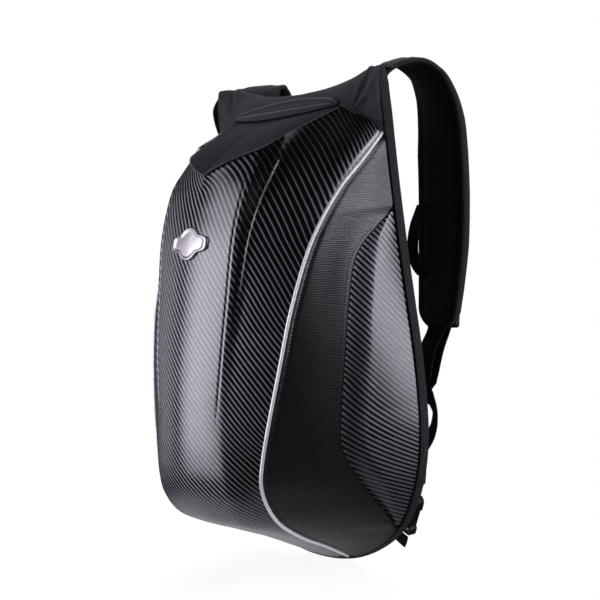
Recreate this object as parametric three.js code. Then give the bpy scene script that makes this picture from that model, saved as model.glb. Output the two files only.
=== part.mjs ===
// Motorcycle backpack: moulded front shell, cloth top and sides, padded back and a two-strap harness.
// Millimetres, +Z up. The shell faces -Y and the wearer stands at +Y.
// The origin is the middle of the back panel's outer face.
import * as THREE from 'three';

// Driving dimensions. Tables measure y from a plane behind the back panel, and height from the lowest point.
const ORIGIN_Y = -5;
const ORIGIN_HEIGHT = 250;
const SHELL_WALL = 2.5;
const CLOTH_WALL = 2;
const YOKE_WALL = 3;
const INSERT_WALL = 2;
const PAD_DEPTH = 10;
const SEAM_GAP = 0.4;
const PIPING_RADIUS = 2.2;
const PIPING_SEAT = PIPING_RADIUS + 1.5;
const CORD_RADIUS = 1.2;
const CORD_SEAT = CORD_RADIUS + 0.8;
const SIDE_REAR_Y = -PAD_DEPTH - 2.2;
const FABRIC_PUFF = 4.5;
const INSERT_RECESS = 3;
const INSERT_CROWN = 6;
const WEBBING_WIDTH = 25;
const WEBBING_THICKNESS = 2.2;
const TAPE_WIDTH = 8.5;
const TAPE_THICKNESS = 2.4;
const TAPE_MIDDLE_Y = -10.75;
const BADGE_WIDTH = 60;
const BADGE_HEIGHT = 34;
const BADGE_THICKNESS = 2.4;
const BADGE_CENTRE_HEIGHT = 352;

// The shell's ribs, a row for each station from the underside's rear edge to the top edge: [x, y, height]
const RIB_NAMES = ['crown', 'crease', 'foot', 'wing', 'piping'];
const SHELL_STATIONS = [
  [[0, -17, 4], [12, -17, 4], [14, -17, 4], [26, -17, 4.5], [40, -17, 6]],
  [[0, -70, 27], [30, -70, 27.5], [33, -70, 27.5], [46, -69, 28.5], [62, -67, 30]],
  [[0, -130, 51], [44, -128, 52], [47, -127, 52], [60, -121, 51.5], [74, -110, 50]],
  [[0, -171, 72], [50, -165, 72], [53, -164, 72], [66, -156, 72], [79, -141, 71]],
  [[0, -188, 96], [53, -180, 95], [56, -179, 95], [69, -171, 94], [81, -156, 92]],
  [[0, -195, 115], [54, -186, 115], [57, -185, 115], [71, -177, 114], [85, -164, 113]],
  [[0, -198, 140], [55, -188, 140], [58.5, -186.5, 140], [75, -177, 139], [90, -164, 138]],
  [[0, -196, 178], [56, -185, 178], [61, -182.5, 177], [80, -173.5, 173], [97, -161, 168]],
  [[0, -190, 237], [61, -179, 237], [67, -174.5, 236], [89, -165, 232], [108.6, -150, 230]],
  [[0, -181, 295], [64, -170, 295], [70.5, -162, 294], [94.5, -153, 290], [116, -138, 283]],
  [[0, -170, 354], [66, -160, 354], [73, -147.5, 353], [98, -133, 352], [122, -111, 349]],
  [[0, -160, 384], [66.5, -150.5, 386], [73, -132, 390], [100, -106, 397], [126, -74, 398]],
  [[0, -152, 404], [66, -139, 412], [74, -118, 421], [98, -76, 437], [130, -46, 422]],
  [[0, -145, 420], [60, -115.5, 443], [73.5, -98, 455], [88, -32, 483], [132, -17.5, 456]],
];

// The back panel's outline, right half from bottom to top
const OUTLINE = [
  { x: 0, height: 0 },
  { x: 35, height: 2.5 },
  { x: 64, height: 10 },
  { x: 102, height: 30 },
  { x: 130, height: 57 },
  { x: 151, height: 99 },
  { x: 160, height: 141 },
  { x: 161, height: 181 },
  { x: 158, height: 232 },
  { x: 152, height: 282 },
  { x: 146, height: 333 },
  { x: 140.3, height: 390 },
  { x: 136.8, height: 430 },
  { x: 135.5, height: 462 },
  { x: 131, height: 482 },
  { x: 119, height: 492 },
  { x: 90, height: 495 },
  { x: 0, height: 496 },
];

// Front edge of the side insert: share of the way from piping to back panel at each height
const INSERT_EDGE = [
  { height: 46, share: 1 },
  { height: 50, share: 0.94 },
  { height: 79, share: 0.75 },
  { height: 99, share: 0.65 },
  { height: 121, share: 0.56 },
  { height: 136, share: 0.503 },
  { height: 148, share: 0.477 },
  { height: 191, share: 0.462 },
  { height: 243, share: 0.467 },
  { height: 300, share: 0.48 },
  { height: 320, share: 0.49 },
  { height: 333, share: 0.52 },
  { height: 345, share: 0.59 },
  { height: 358, share: 0.72 },
  { height: 366, share: 0.825 },
  { height: 374, share: 0.945 },
  { height: 378, share: 1 },
];

// The yoke from its middle to its gusset's outer edge: [x, y, height]
const YOKE_SECTIONS = [
  { front: [0, -20.5, 495.5], top: [0, -5, 506] },
  { front: [45, -23.5, 493], top: [42, -4.5, 508.5] },
  { front: [88, -29.5, 488], top: [78, -5.5, 514] },
  { front: [112, -24, 473.5], top: [111, -10, 521.5] },
  { front: [134.5, -18.5, 461], top: [136, -18, 521] },
];

// The tape's upper stretch along the gusset's outer edge, above the back panel's side: [x, y, height]
const TAPE_TOP = [
  [136.9, -11, 436],
  [138, -14.5, 472],
  [140, -18.3, 490],
  [140.5, -19.3, 506],
  [139, -17.5, 522],
];

// The right shoulder strap: middle line, width, thickness and direction from inner to outer edge
const STRAP_STATIONS = [
  { at: [93, -0.2, 490], width: 58, thick: 8, side: [0.95, 0.12, 0.3] },
  { at: [95, 4.6, 505.6], width: 62, thick: 8, side: [0.92, -0.05, 0.3] },
  { at: [99, 12.3, 516], width: 67, thick: 8, side: [0.94, -0.14, 0.18] },
  { at: [105, 27, 525], width: 67, thick: 8.5, side: [0.98, -0.15, 0.02] },
  { at: [111.5, 46, 526.5], width: 65, thick: 9, side: [1, -0.18, -0.08] },
  { at: [117.5, 63, 515], width: 63, thick: 9.5, side: [1, -0.2, -0.08] },
  { at: [121.5, 72, 494.5], width: 62, thick: 10.5, side: [1, -0.17, -0.03] },
  { at: [124, 76, 465], width: 62, thick: 11.5, side: [1, -0.08, 0] },
  { at: [124.5, 75.5, 430], width: 62, thick: 12, side: [1, -0.02, 0] },
  { at: [123.5, 75, 385], width: 62, thick: 12, side: [1, 0, 0] },
  { at: [121.5, 72.5, 335], width: 61, thick: 12, side: [1, 0, 0] },
  { at: [119, 68, 290], width: 58, thick: 12, side: [1, 0, 0] },
  { at: [117, 62, 247], width: 54, thick: 12, side: [1, 0, 0] },
];
// The left strap slumps: its middle line over the arch, as it would lie on the right side
const LEFT_ARCH_FROM = 2;
const LEFT_ARCH = [
  [101, 11.5, 519],
  [107, 21.5, 523.5],
  [112.5, 34, 518],
  [117, 45, 503],
  [120.5, 53.5, 481],
  [123, 63, 456],
  [124, 71, 424],
];
const STRAP_END_ROUNDING = 20;

// Webbing routes on the right side: [x, y, height], and the turn of the lower webbing in degrees
const LOWER_WEBBING = [
  { at: [118.5, 69.5, 244.8], turn: 0 },
  { at: [118, 63.5, 239], turn: 0 },
  { at: [118, 55, 224.5], turn: 0 },
  { at: [119, 49.2, 213.8], turn: 0 },
  { at: [121, 42.4, 199.8], turn: 4 },
  { at: [124, 35.9, 189.1], turn: 12 },
  { at: [130, 29.6, 181.8], turn: 22 },
  { at: [137, 26.3, 175.3], turn: 32 },
  { at: [144, 22.3, 165.8], turn: 38 },
  { at: [147, 17.7, 154.2], turn: 36 },
  { at: [147, 10.9, 142], turn: 26 },
  { at: [145, 5, 134.5], turn: 14 },
  { at: [141.5, 0.4, 128], turn: 4 },
  { at: [138, -2, 121], turn: 0 },
];
const STRAP_TAIL = [
  [117, 59.5, 245.9],
  [117, 50.5, 234],
  [117, 42.5, 223],
  [117, 37.8, 210],
  [117, 34.5, 198],
  [117, 30.5, 189],
];
const CHEST_LOOP = [
  [98.5, 67.3, 378],
  [98.5, 62, 369],
  [98.5, 55.5, 358],
  [98.5, 50, 340],
  [98.5, 49.5, 324],
  [98.5, 55, 311.5],
  [98.5, 62, 303.5],
];
const WAIST_TAB = [
  [139.5, -1, 115],
  [139, -1, 106],
  [137, -1, 94.5],
];
const WAIST_STRAP = [
  [108.8, 0.8, 36.2],
  [105, 2.5, 30.5],
  [100, 4.5, 24.5],
];
const CHEST_LOOP_WIDTH = 16;
const WAIST_TAB_WIDTH = 20;
const WAIST_TAB_THICKNESS = 7;
const WAIST_STRAP_WIDTH = 15;

// Plastic pieces: middle, sizes across, along and through, and lean in radians
const ADJUSTER = { at: [119, 73, 254], across: 34, along: 16, through: 6, slot: 24, bar: 3, lean: -0.14 };
const BUCKLE = { at: [119, 0.8, 58], across: 22, along: 44, through: 10.5, lean: 0.423 };

// Counts of facets
const STEPS_PER_STATION = 2;
const HOOD_COLUMNS = [0, 0.3, 0.6, 0.85, 1];
const WING_COLUMNS = [0, 0.12, 0.3, 0.5, 0.7, 0.88, 1];
const SIDE_COLUMNS = 4;
const FLAP_COLUMNS = 8;
const FLAP_ROWS = 4;
const STRAP_STEPS = 24;
const WEBBING_STEPS = 12;
const PIPING_STEPS = 32;
const PIPING_SIDES = 6;
const CORD_SIDES = 5;
const TAPE_STEPS = 72;

// Points and curves
function place([x, y, height]) {
  return new THREE.Vector3(x, y - ORIGIN_Y, height - ORIGIN_HEIGHT);
}

function curveThrough(points) {
  return new THREE.CatmullRomCurve3(points.map(place));
}

function rib(name) {
  return curveThrough(SHELL_STATIONS.map((station) => station[RIB_NAMES.indexOf(name)]));
}

function interpolate(rows, key, value, column) {
  const last = rows.length - 1;
  if (value <= rows[0][key]) return rows[0][column];
  if (value >= rows[last][key]) return rows[last][column];
  const next = rows.findIndex((row) => row[key] > value);
  const before = rows[next - 1];
  const share = (value - before[key]) / (rows[next][key] - before[key]);
  return THREE.MathUtils.lerp(before[column], rows[next][column], share);
}

function mix(from, to, share) {
  return from.clone().lerp(to, share);
}

function towards(from, to, distance) {
  return from.clone().addScaledVector(to.clone().sub(from).normalize(), distance);
}

// Closed solids
function solid(vertices, triangles) {
  const geometry = new THREE.BufferGeometry();
  const positions = vertices.flatMap((vertex) => vertex.toArray());
  geometry.setAttribute('position', new THREE.Float32BufferAttribute(positions, 3));
  geometry.setIndex(signedVolume(vertices, triangles) < 0 ? reversed(triangles) : triangles.flat());
  return geometry;
}

function signedVolume(vertices, triangles) {
  const cross = new THREE.Vector3();
  return triangles.reduce((sum, [a, b, c]) => {
    cross.crossVectors(vertices[b], vertices[c]);
    return sum + vertices[a].dot(cross) / 6;
  }, 0);
}

function reversed(triangles) {
  return triangles.flatMap(([a, b, c]) => [a, c, b]);
}

// Two grids of the same size, joined round their rims
function between(outer, inner) {
  const rows = outer.length;
  const columns = outer[0].length;
  const vertices = [...outer.flat(), ...inner.flat()];
  const inside = rows * columns;
  const index = (i, j) => i * columns + j;
  const triangles = [];
  for (let i = 0; i < rows - 1; i++) {
    for (let j = 0; j < columns - 1; j++) {
      const corners = [index(i, j), index(i, j + 1), index(i + 1, j + 1), index(i + 1, j)];
      const [a, b, c, d] = corners;
      triangles.push([a, b, c], [a, c, d]);
      triangles.push([inside + a, inside + c, inside + b], [inside + a, inside + d, inside + c]);
    }
  }
  const rim = [];
  for (let j = 0; j < columns - 1; j++) rim.push(index(0, j));
  for (let i = 0; i < rows - 1; i++) rim.push(index(i, columns - 1));
  for (let j = columns - 1; j > 0; j--) rim.push(index(rows - 1, j));
  for (let i = rows - 1; i > 0; i--) rim.push(index(i, 0));
  rim.forEach((from, k) => {
    const to = rim[(k + 1) % rim.length];
    triangles.push([to, from, inside + from], [to, inside + from, inside + to]);
  });
  return solid(vertices, triangles);
}

function normalAt(grid, i, j) {
  const rows = grid.length - 1;
  const columns = grid[0].length - 1;
  const across = grid[i][Math.min(j + 1, columns)].clone().sub(grid[i][Math.max(j - 1, 0)]);
  const along = grid[Math.min(i + 1, rows)][j].clone().sub(grid[Math.max(i - 1, 0)][j]);
  return across.cross(along).normalize();
}

function offset(grid, distance) {
  const moved = (point, i, j) => point.clone().addScaledVector(normalAt(grid, i, j), distance);
  return grid.map((row, i) => row.map((point, j) => moved(point, i, j)));
}

function wall(grid, thickness) {
  return between(grid, offset(grid, -thickness));
}

// A closed section carried along rows of { centre, side, face }
function swept(rows, sectionAt) {
  const sections = rows.map((row, k) => sectionAt(k, row).map(([across, through]) => row.centre.clone()
    .addScaledVector(row.side, across)
    .addScaledVector(row.face, through)));
  const count = sections[0].length;
  const triangles = [];
  for (let k = 0; k < rows.length - 1; k++) {
    for (let j = 0; j < count; j++) {
      const next = (j + 1) % count;
      const a = k * count + j;
      const b = k * count + next;
      triangles.push([a, b, b + count], [a, b + count, a + count]);
    }
  }
  const end = (rows.length - 1) * count;
  for (let j = 1; j < count - 1; j++) {
    triangles.push([0, j + 1, j], [end, end + j, end + j + 1]);
  }
  return solid(sections.flat(), triangles);
}

// Frames along a curve whose side direction stays near the hint for that share of its length
const ACROSS = new THREE.Vector3(1, 0, 0);
const BACKWARD = new THREE.Vector3(0, 1, 0);

function frames(curve, steps, hintAt) {
  const rows = [];
  for (let k = 0; k <= steps; k++) {
    const centre = curve.getPointAt(k / steps);
    const tangent = curve.getTangentAt(k / steps);
    const hint = hintAt(k / steps);
    const side = hint.clone().addScaledVector(tangent, -hint.dot(tangent)).normalize();
    rows.push({ centre, side, face: tangent.clone().cross(side) });
  }
  return rows;
}

function rectangle(width, thickness) {
  const half = width / 2;
  const deep = thickness / 2;
  return [[-half, -deep], [half, -deep], [half, deep], [-half, deep]];
}

function roundedStrip(width, thickness) {
  const half = width / 2;
  const deep = thickness / 2;
  const edge = Math.min(deep, half * 0.6);
  return [
    [-half, 0], [-half + edge * 0.35, -deep * 0.75], [-half + edge, -deep], [half - edge, -deep],
    [half - edge * 0.35, -deep * 0.75], [half, 0], [half - edge * 0.35, deep * 0.75], [half - edge, deep],
    [-half + edge, deep], [-half + edge * 0.35, deep * 0.75],
  ];
}

function ribbon(points, width, thickness) {
  const rows = frames(curveThrough(points), WEBBING_STEPS, () => ACROSS);
  return swept(rows, () => rectangle(width, thickness));
}

function turnedRibbon(route, width, thickness) {
  const curve = curveThrough(route.map((stop) => stop.at));
  const table = route.map(({ turn }, k) => ({ u: k / (route.length - 1), turn }));
  const rows = frames(curve, 2 * WEBBING_STEPS, (along) => {
    const turn = THREE.MathUtils.degToRad(interpolate(table, 'u', curve.getUtoTmapping(along), 'turn'));
    return new THREE.Vector3(Math.cos(turn), -Math.sin(turn), 0);
  });
  return swept(rows, () => rectangle(width, thickness));
}

function tube(curve, radius, steps, sides) {
  const corners = [];
  for (let k = 0; k < sides; k++) {
    const angle = (2 * Math.PI * k) / sides;
    corners.push(new THREE.Vector2(radius * Math.cos(angle), radius * Math.sin(angle)));
  }
  const shape = new THREE.Shape(corners);
  return new THREE.ExtrudeGeometry(shape, { steps, extrudePath: curve, bevelEnabled: false });
}

function mirrored(geometry) {
  const flat = geometry.index ? geometry.toNonIndexed() : geometry.clone();
  const source = flat.getAttribute('position');
  const positions = [];
  for (let k = 0; k < source.count; k += 3) {
    for (const corner of [k, k + 2, k + 1]) {
      positions.push(-source.getX(corner), source.getY(corner), source.getZ(corner));
    }
  }
  const copy = new THREE.BufferGeometry();
  copy.setAttribute('position', new THREE.Float32BufferAttribute(positions, 3));
  return copy;
}

// Shell surface
const RIBS = {
  crown: rib('crown'),
  crease: rib('crease'),
  foot: rib('foot'),
  wing: rib('wing'),
  piping: rib('piping'),
};
const STATION_COUNT = SHELL_STATIONS.length - 1;

function hoodPoint(along, share) {
  const crown = RIBS.crown.getPoint(along);
  const crease = RIBS.crease.getPoint(along);
  const roundness = share ** 2.2;
  return new THREE.Vector3(
    crease.x * share,
    THREE.MathUtils.lerp(crown.y, crease.y, roundness),
    THREE.MathUtils.lerp(crown.z, crease.z, share),
  );
}

// The wing is a smooth curve through foot, wing and piping, and a plain corner along the top edge
function wingPoint(along, share) {
  const foot = RIBS.foot.getPoint(along);
  const wing = RIBS.wing.getPoint(along);
  const piping = RIBS.piping.getPoint(along);
  const smooth = foot.clone().multiplyScalar(2 * (share - 0.5) * (share - 1))
    .addScaledVector(wing, -4 * share * (share - 1))
    .addScaledVector(piping, 2 * share * (share - 0.5));
  const corner = share < 0.5 ? mix(foot, wing, 2 * share) : mix(wing, piping, 2 * share - 1);
  const station = along * STATION_COUNT;
  return mix(smooth, corner, THREE.MathUtils.smoothstep(station, STATION_COUNT - 1, STATION_COUNT));
}

function shellRow(along) {
  const hood = HOOD_COLUMNS.map((share) => hoodPoint(along, share));
  const wing = WING_COLUMNS.map((share) => wingPoint(along, share));
  const last = wing.length - 1;
  wing[last] = towards(wing[last], wing[last - 1], PIPING_SEAT);
  const right = [...hood, ...wing];
  const left = right.slice(1).reverse().map((point) => new THREE.Vector3(-point.x, point.y, point.z));
  return [...left, ...right];
}

function shellGrid() {
  const rows = [];
  const count = STATION_COUNT * STEPS_PER_STATION;
  for (let k = 0; k <= count; k++) rows.push(shellRow(k / count));
  return rows;
}

// Side surface, from piping (share 0) to back panel (share 1)
const OUTLINE_CURVE = curveThrough(OUTLINE.map(({ x, height }) => [x, ORIGIN_Y, height]));
const OUTLINE_SAMPLES = OUTLINE_CURVE.getPoints(240).map(({ x, z }) => ({ x, z }));
const INSERT_EDGE_CURVE = INSERT_EDGE.map(({ height, share }) => ({ z: height - ORIGIN_HEIGHT, share }));

function insertShareAt(along) {
  return interpolate(INSERT_EDGE_CURVE, 'z', RIBS.piping.getPoint(along).z, 'share');
}

function sidePoint(along, share, puff) {
  const front = RIBS.piping.getPoint(along);
  const rear = new THREE.Vector3(interpolate(OUTLINE_SAMPLES, 'z', front.z, 'x') - 1, SIDE_REAR_Y, front.z);
  const span = rear.clone().sub(front);
  const outward = new THREE.Vector3(span.y, -span.x, 0).normalize();
  const fullness = Math.min(1, span.length() / 100);
  return mix(front, rear, share).addScaledVector(outward, puff * fullness);
}

function sideSpan(along) {
  return sidePoint(along, 0, 0).distanceTo(sidePoint(along, 1, 0));
}

// Distance from the insert's front edge to the cloth or the insert, measured level
function seatBeside(along) {
  const step = 0.004;
  const before = Math.max(along - step, 0);
  const after = Math.min(along + step, 1);
  const rise = RIBS.piping.getPoint(after).z - RIBS.piping.getPoint(before).z;
  const run = (insertShareAt(after) - insertShareAt(before)) * sideSpan(along);
  return CORD_SEAT * Math.min(Math.hypot(1, run / rise), 2);
}

function panelPoint(along, part) {
  const edge = insertShareAt(along);
  const span = sideSpan(along);
  const start = PIPING_SEAT / span;
  const end = edge < 1 ? edge - seatBeside(along) / span : 1;
  const share = THREE.MathUtils.lerp(start, end, part);
  const puff = FABRIC_PUFF * Math.sin((Math.PI / 2) * part) * (edge < 1 ? 1 : 1 - part);
  return sidePoint(along, share, puff);
}

function insertPoint(along, part) {
  const start = insertShareAt(along) + seatBeside(along) / sideSpan(along);
  const puff = INSERT_RECESS * (1 - part) + 4 * INSERT_CROWN * part * (1 - part);
  return sidePoint(along, THREE.MathUtils.lerp(start, 1, part), puff);
}

function cordPoint(along) {
  return sidePoint(along, insertShareAt(along), (FABRIC_PUFF + INSERT_RECESS) / 2);
}

// Share of the piping's length at a height
function alongAt(height) {
  const z = height - ORIGIN_HEIGHT;
  const samples = [];
  for (let k = 0; k <= 400; k++) samples.push({ along: k / 400, z: RIBS.piping.getPoint(k / 400).z });
  return interpolate(samples, 'z', z, 'along');
}

function sideGrid(pointAt, rows) {
  return rows.map((along) => {
    const row = [];
    for (let j = 0; j <= SIDE_COLUMNS; j++) row.push(pointAt(along, j / SIDE_COLUMNS));
    return row;
  });
}

// Top of the bag: the flap's front edge follows the shell's top edge from side to side
function flapFront(position) {
  const share = Math.abs(position);
  const hoodPart = 0.46;
  const point = share < hoodPart
    ? hoodPoint(1, share / hoodPart)
    : mix(RIBS.crease.getPoint(1), RIBS.wing.getPoint(1), (share - hoodPart) / (1 - hoodPart));
  point.x *= Math.sign(position);
  return point;
}

function lip(position, [endY, endHeight], [rise, lift], halfWidth) {
  const middle = 1 - position * position;
  return place([halfWidth * position, endY + rise * middle, endHeight + lift * middle]);
}

function acrossTop(pointAt, reach, rows) {
  const grid = [];
  for (let i = 0; i <= rows; i++) {
    const row = [];
    for (let j = -FLAP_COLUMNS; j <= FLAP_COLUMNS; j++) {
      row.push(pointAt((reach * j) / FLAP_COLUMNS, i / rows));
    }
    grid.push(row);
  }
  return grid;
}

function topFlapPoint(position, part) {
  const front = flapFront(position);
  const rear = lip(position, [-36, 483], [-14, -6.5], 86);
  const start = 2.8 / Math.max(front.distanceTo(rear), 5.6);
  const bulge = 5 * Math.sin(Math.PI * part) * (1 - position * position);
  const flat = mix(front, rear, THREE.MathUtils.lerp(start, 1, part));
  return flat.add(new THREE.Vector3(0, -0.5 * bulge, 0.85 * bulge));
}

function zipFlapPoint(position, part) {
  const lower = lip(position, [-35.5, 485.7], [-15.5, -5.2], 86);
  const upper = lip(position, [-32, 489], [9.4, 7], 86);
  const roll = 2 * Math.sin(Math.PI * part) * (1 - position * position);
  return mix(lower, upper, part).add(new THREE.Vector3(0, 0, roll));
}

function yokeGrid() {
  const front = curveThrough(YOKE_SECTIONS.map((section) => section.front));
  const top = curveThrough(YOKE_SECTIONS.map((section) => section.top));
  const pointAt = (position, part) => {
    const share = Math.abs(position);
    const swell = 3 * Math.sin(Math.PI * part);
    const point = mix(front.getPoint(share), top.getPoint(share), part);
    point.add(new THREE.Vector3(0, -swell, swell));
    point.x *= Math.sign(position);
    return point;
  };
  return acrossTop(pointAt, 1, FLAP_ROWS);
}

// Back panel and its tape
function backPanel() {
  const steps = 44;
  const inset = TAPE_THICKNESS / 2 + SEAM_GAP;
  const right = [];
  for (let k = 0; k <= steps; k++) {
    const point = OUTLINE_CURVE.getPointAt(k / steps);
    const tangent = OUTLINE_CURVE.getTangentAt(k / steps);
    right.push(new THREE.Vector2(point.x - inset * tangent.z, point.z + inset * tangent.x));
  }
  right[0].x = 0;
  right[steps].x = 0;
  const left = right.slice(1, -1).reverse().map(({ x, y }) => new THREE.Vector2(-x, y));
  const shape = new THREE.Shape([...right, ...left]);
  const geometry = new THREE.ExtrudeGeometry(shape, { depth: PAD_DEPTH, bevelEnabled: false });
  return geometry.rotateX(Math.PI / 2);
}

function edgeBinding() {
  const side = OUTLINE.slice(0, -6).map(({ x, height }) => [x, TAPE_MIDDLE_Y, height]);
  const right = [...side, ...TAPE_TOP];
  const left = right.slice(1).reverse().map(([x, y, height]) => [-x, y, height]);
  const rows = frames(curveThrough([...left, ...right]), TAPE_STEPS, () => BACKWARD);
  return swept(rows, () => rectangle(TAPE_WIDTH, TAPE_THICKNESS));
}

// Harness
function shoulderStrap(stations) {
  const curve = curveThrough(stations.map((station) => station.at));
  const length = curve.getLength();
  const last = stations.length - 1;
  const table = stations.map(({ width, thick, side }, k) => {
    const [x, y, z] = side;
    return { u: k / last, width, thick, x, y, z };
  });
  const column = (along, name) => interpolate(table, 'u', curve.getUtoTmapping(along), name);
  const sideAt = (along) => new THREE.Vector3(column(along, 'x'), column(along, 'y'), column(along, 'z'));
  const rows = frames(curve, STRAP_STEPS, sideAt);
  return swept(rows, (k) => {
    const along = k / STRAP_STEPS;
    const left = (1 - along) * length;
    const rounding = left < STRAP_END_ROUNDING ? 1 - left / STRAP_END_ROUNDING : 0;
    const narrowing = Math.sqrt(1 - 0.75 * rounding * rounding);
    const width = column(along, 'width') * narrowing;
    return roundedStrip(width, column(along, 'thick') * (1 - 0.3 * rounding * rounding));
  });
}

function leftStations() {
  return STRAP_STATIONS.map((station, k) => {
    const at = LEFT_ARCH[k - LEFT_ARCH_FROM] ?? station.at;
    return { ...station, at };
  });
}

function adjuster() {
  const { across, along, slot, bar, through, at, lean } = ADJUSTER;
  const shape = new THREE.Shape(rectangle(across, along).map(([x, y]) => new THREE.Vector2(x, y)));
  const slotHeight = (along - 3 * bar) / 2;
  for (const level of [-1, 1]) {
    const middle = (level * (slotHeight + bar)) / 2;
    const hole = rectangle(slot, slotHeight).map(([x, y]) => new THREE.Vector2(x, y + middle));
    shape.holes.push(new THREE.Path(hole));
  }
  const geometry = new THREE.ExtrudeGeometry(shape, { depth: through, bevelEnabled: false });
  geometry.translate(0, 0, -through / 2);
  geometry.rotateX(Math.PI / 2 + lean);
  const centre = place(at);
  return geometry.translate(centre.x, centre.y, centre.z);
}

function waistBuckle() {
  const { across, along, through, at, lean } = BUCKLE;
  const half = across / 2;
  const tall = along / 2;
  const notch = 2;
  const outline = [
    [-half, -tall], [half, -tall], [half, -tall + 8], [half - notch, -tall + 10], [half - notch, tall - 16],
    [half, tall - 14], [half, tall - 6], [half - 5, tall], [-half + 5, tall], [-half, tall - 6],
    [-half, tall - 14], [-half + notch, tall - 16], [-half + notch, -tall + 10], [-half, -tall + 8],
  ];
  const shape = new THREE.Shape(outline.map(([x, y]) => new THREE.Vector2(x, y)));
  const geometry = new THREE.ExtrudeGeometry(shape, { depth: through, bevelEnabled: false });
  geometry.translate(0, 0, -through / 2);
  geometry.rotateX(Math.PI / 2);
  geometry.rotateY(lean);
  const centre = place(at);
  return geometry.translate(centre.x, centre.y, centre.z);
}

// Badge plate that follows the hood
function badge() {
  const rows = 8;
  const columns = 6;
  const grid = [];
  const crownSamples = [];
  for (let k = 0; k <= 400; k++) crownSamples.push({ along: k / 400, z: RIBS.crown.getPoint(k / 400).z });
  for (let i = 0; i <= rows; i++) {
    const level = -0.94 + (1.88 * i) / rows;
    const z = BADGE_CENTRE_HEIGHT - ORIGIN_HEIGHT + (level * BADGE_HEIGHT) / 2;
    const along = interpolate(crownSamples, 'z', z, 'along');
    const halfWidth = (BADGE_WIDTH / 2) * (1 - Math.abs(level) ** 3) ** (1 / 3);
    const row = [];
    for (let j = 0; j <= columns; j++) {
      const x = halfWidth * (-1 + (2 * j) / columns);
      const point = hoodPoint(along, Math.abs(x) / RIBS.crease.getPoint(along).x);
      point.x *= Math.sign(x);
      row.push(point);
    }
    grid.push(row);
  }
  return between(offset(grid, SEAM_GAP + BADGE_THICKNESS), offset(grid, SEAM_GAP));
}

// Finishes
const FINISHES = {
  carbon: { color: 0x3a3842, roughness: 0.25, metalness: 0.1 },
  weave: { color: 0x2c2b31, roughness: 0.85, metalness: 0 },
  matte: { color: 0x4a4854, roughness: 0.75, metalness: 0 },
  tape: { color: 0x232228, roughness: 0.9, metalness: 0 },
  reflective: { color: 0xd2d4da, roughness: 0.4, metalness: 0.2 },
  mesh: { color: 0x1e1d22, roughness: 0.95, metalness: 0 },
  webbing: { color: 0x19181c, roughness: 0.8, metalness: 0 },
  plastic: { color: 0x151518, roughness: 0.45, metalness: 0 },
  metal: { color: 0xa9abb0, roughness: 0.3, metalness: 1 },
};

const backpack = new THREE.Group();

function add(name, geometry, finish) {
  const mesh = new THREE.Mesh(geometry, new THREE.MeshStandardMaterial(FINISHES[finish]));
  mesh.name = name;
  backpack.add(mesh);
}

function addPair(name, geometry, finish) {
  add(`${name}_right`, geometry, finish);
  add(`${name}_left`, mirrored(geometry), finish);
}

// Assembly
const SIDE_HEIGHTS = [9, 14, 20, 27, 36, ...INSERT_EDGE.map((row) => row.height), 390, 405, 420, 435, 447];
const SIDE_ROWS = [...SIDE_HEIGHTS.map(alongAt), 1];
const INSERT_ROWS = INSERT_EDGE.slice(1, -1).map((row) => alongAt(row.height));
const CORD_CURVE = new THREE.CatmullRomCurve3(INSERT_ROWS.map(cordPoint));

add('shell', wall(shellGrid(), SHELL_WALL), 'carbon');
add('top_flap', wall(acrossTop(topFlapPoint, 0.94, FLAP_ROWS), CLOTH_WALL), 'matte');
add('zip_flap', wall(acrossTop(zipFlapPoint, 0.95, 2), CLOTH_WALL), 'matte');
add('yoke', wall(yokeGrid(), YOKE_WALL), 'matte');
addPair('side_panel', wall(sideGrid(panelPoint, SIDE_ROWS), CLOTH_WALL), 'weave');
addPair('side_insert', wall(sideGrid(insertPoint, INSERT_ROWS), INSERT_WALL), 'carbon');
addPair('piping', tube(RIBS.piping, PIPING_RADIUS, PIPING_STEPS, PIPING_SIDES), 'reflective');
addPair('insert_cord', tube(CORD_CURVE, CORD_RADIUS, 28, CORD_SIDES), 'tape');
add('back_panel', backPanel(), 'mesh');
add('edge_binding', edgeBinding(), 'tape');
add('shoulder_strap_right', shoulderStrap(STRAP_STATIONS), 'mesh');
add('shoulder_strap_left', mirrored(shoulderStrap(leftStations())), 'mesh');
addPair('strap_adjuster', adjuster(), 'plastic');
addPair('strap_webbing', turnedRibbon(LOWER_WEBBING, WEBBING_WIDTH, WEBBING_THICKNESS), 'webbing');
addPair('strap_tail', ribbon(STRAP_TAIL, WEBBING_WIDTH, WEBBING_THICKNESS), 'webbing');
addPair('chest_loop', ribbon(CHEST_LOOP, CHEST_LOOP_WIDTH, WEBBING_THICKNESS), 'webbing');
addPair('waist_tab', ribbon(WAIST_TAB, WAIST_TAB_WIDTH, WAIST_TAB_THICKNESS), 'webbing');
addPair('waist_strap', ribbon(WAIST_STRAP, WAIST_STRAP_WIDTH, WEBBING_THICKNESS), 'webbing');
addPair('waist_buckle', waistBuckle(), 'plastic');
add('badge', badge(), 'metal');

export default backpack;
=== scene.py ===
"""Motorcycle backpack: moulded shell, cloth top and sides, padded back and a two-strap harness."""

import math

import bmesh
import bpy
import numpy as np
from mathutils import Matrix, Vector


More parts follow.
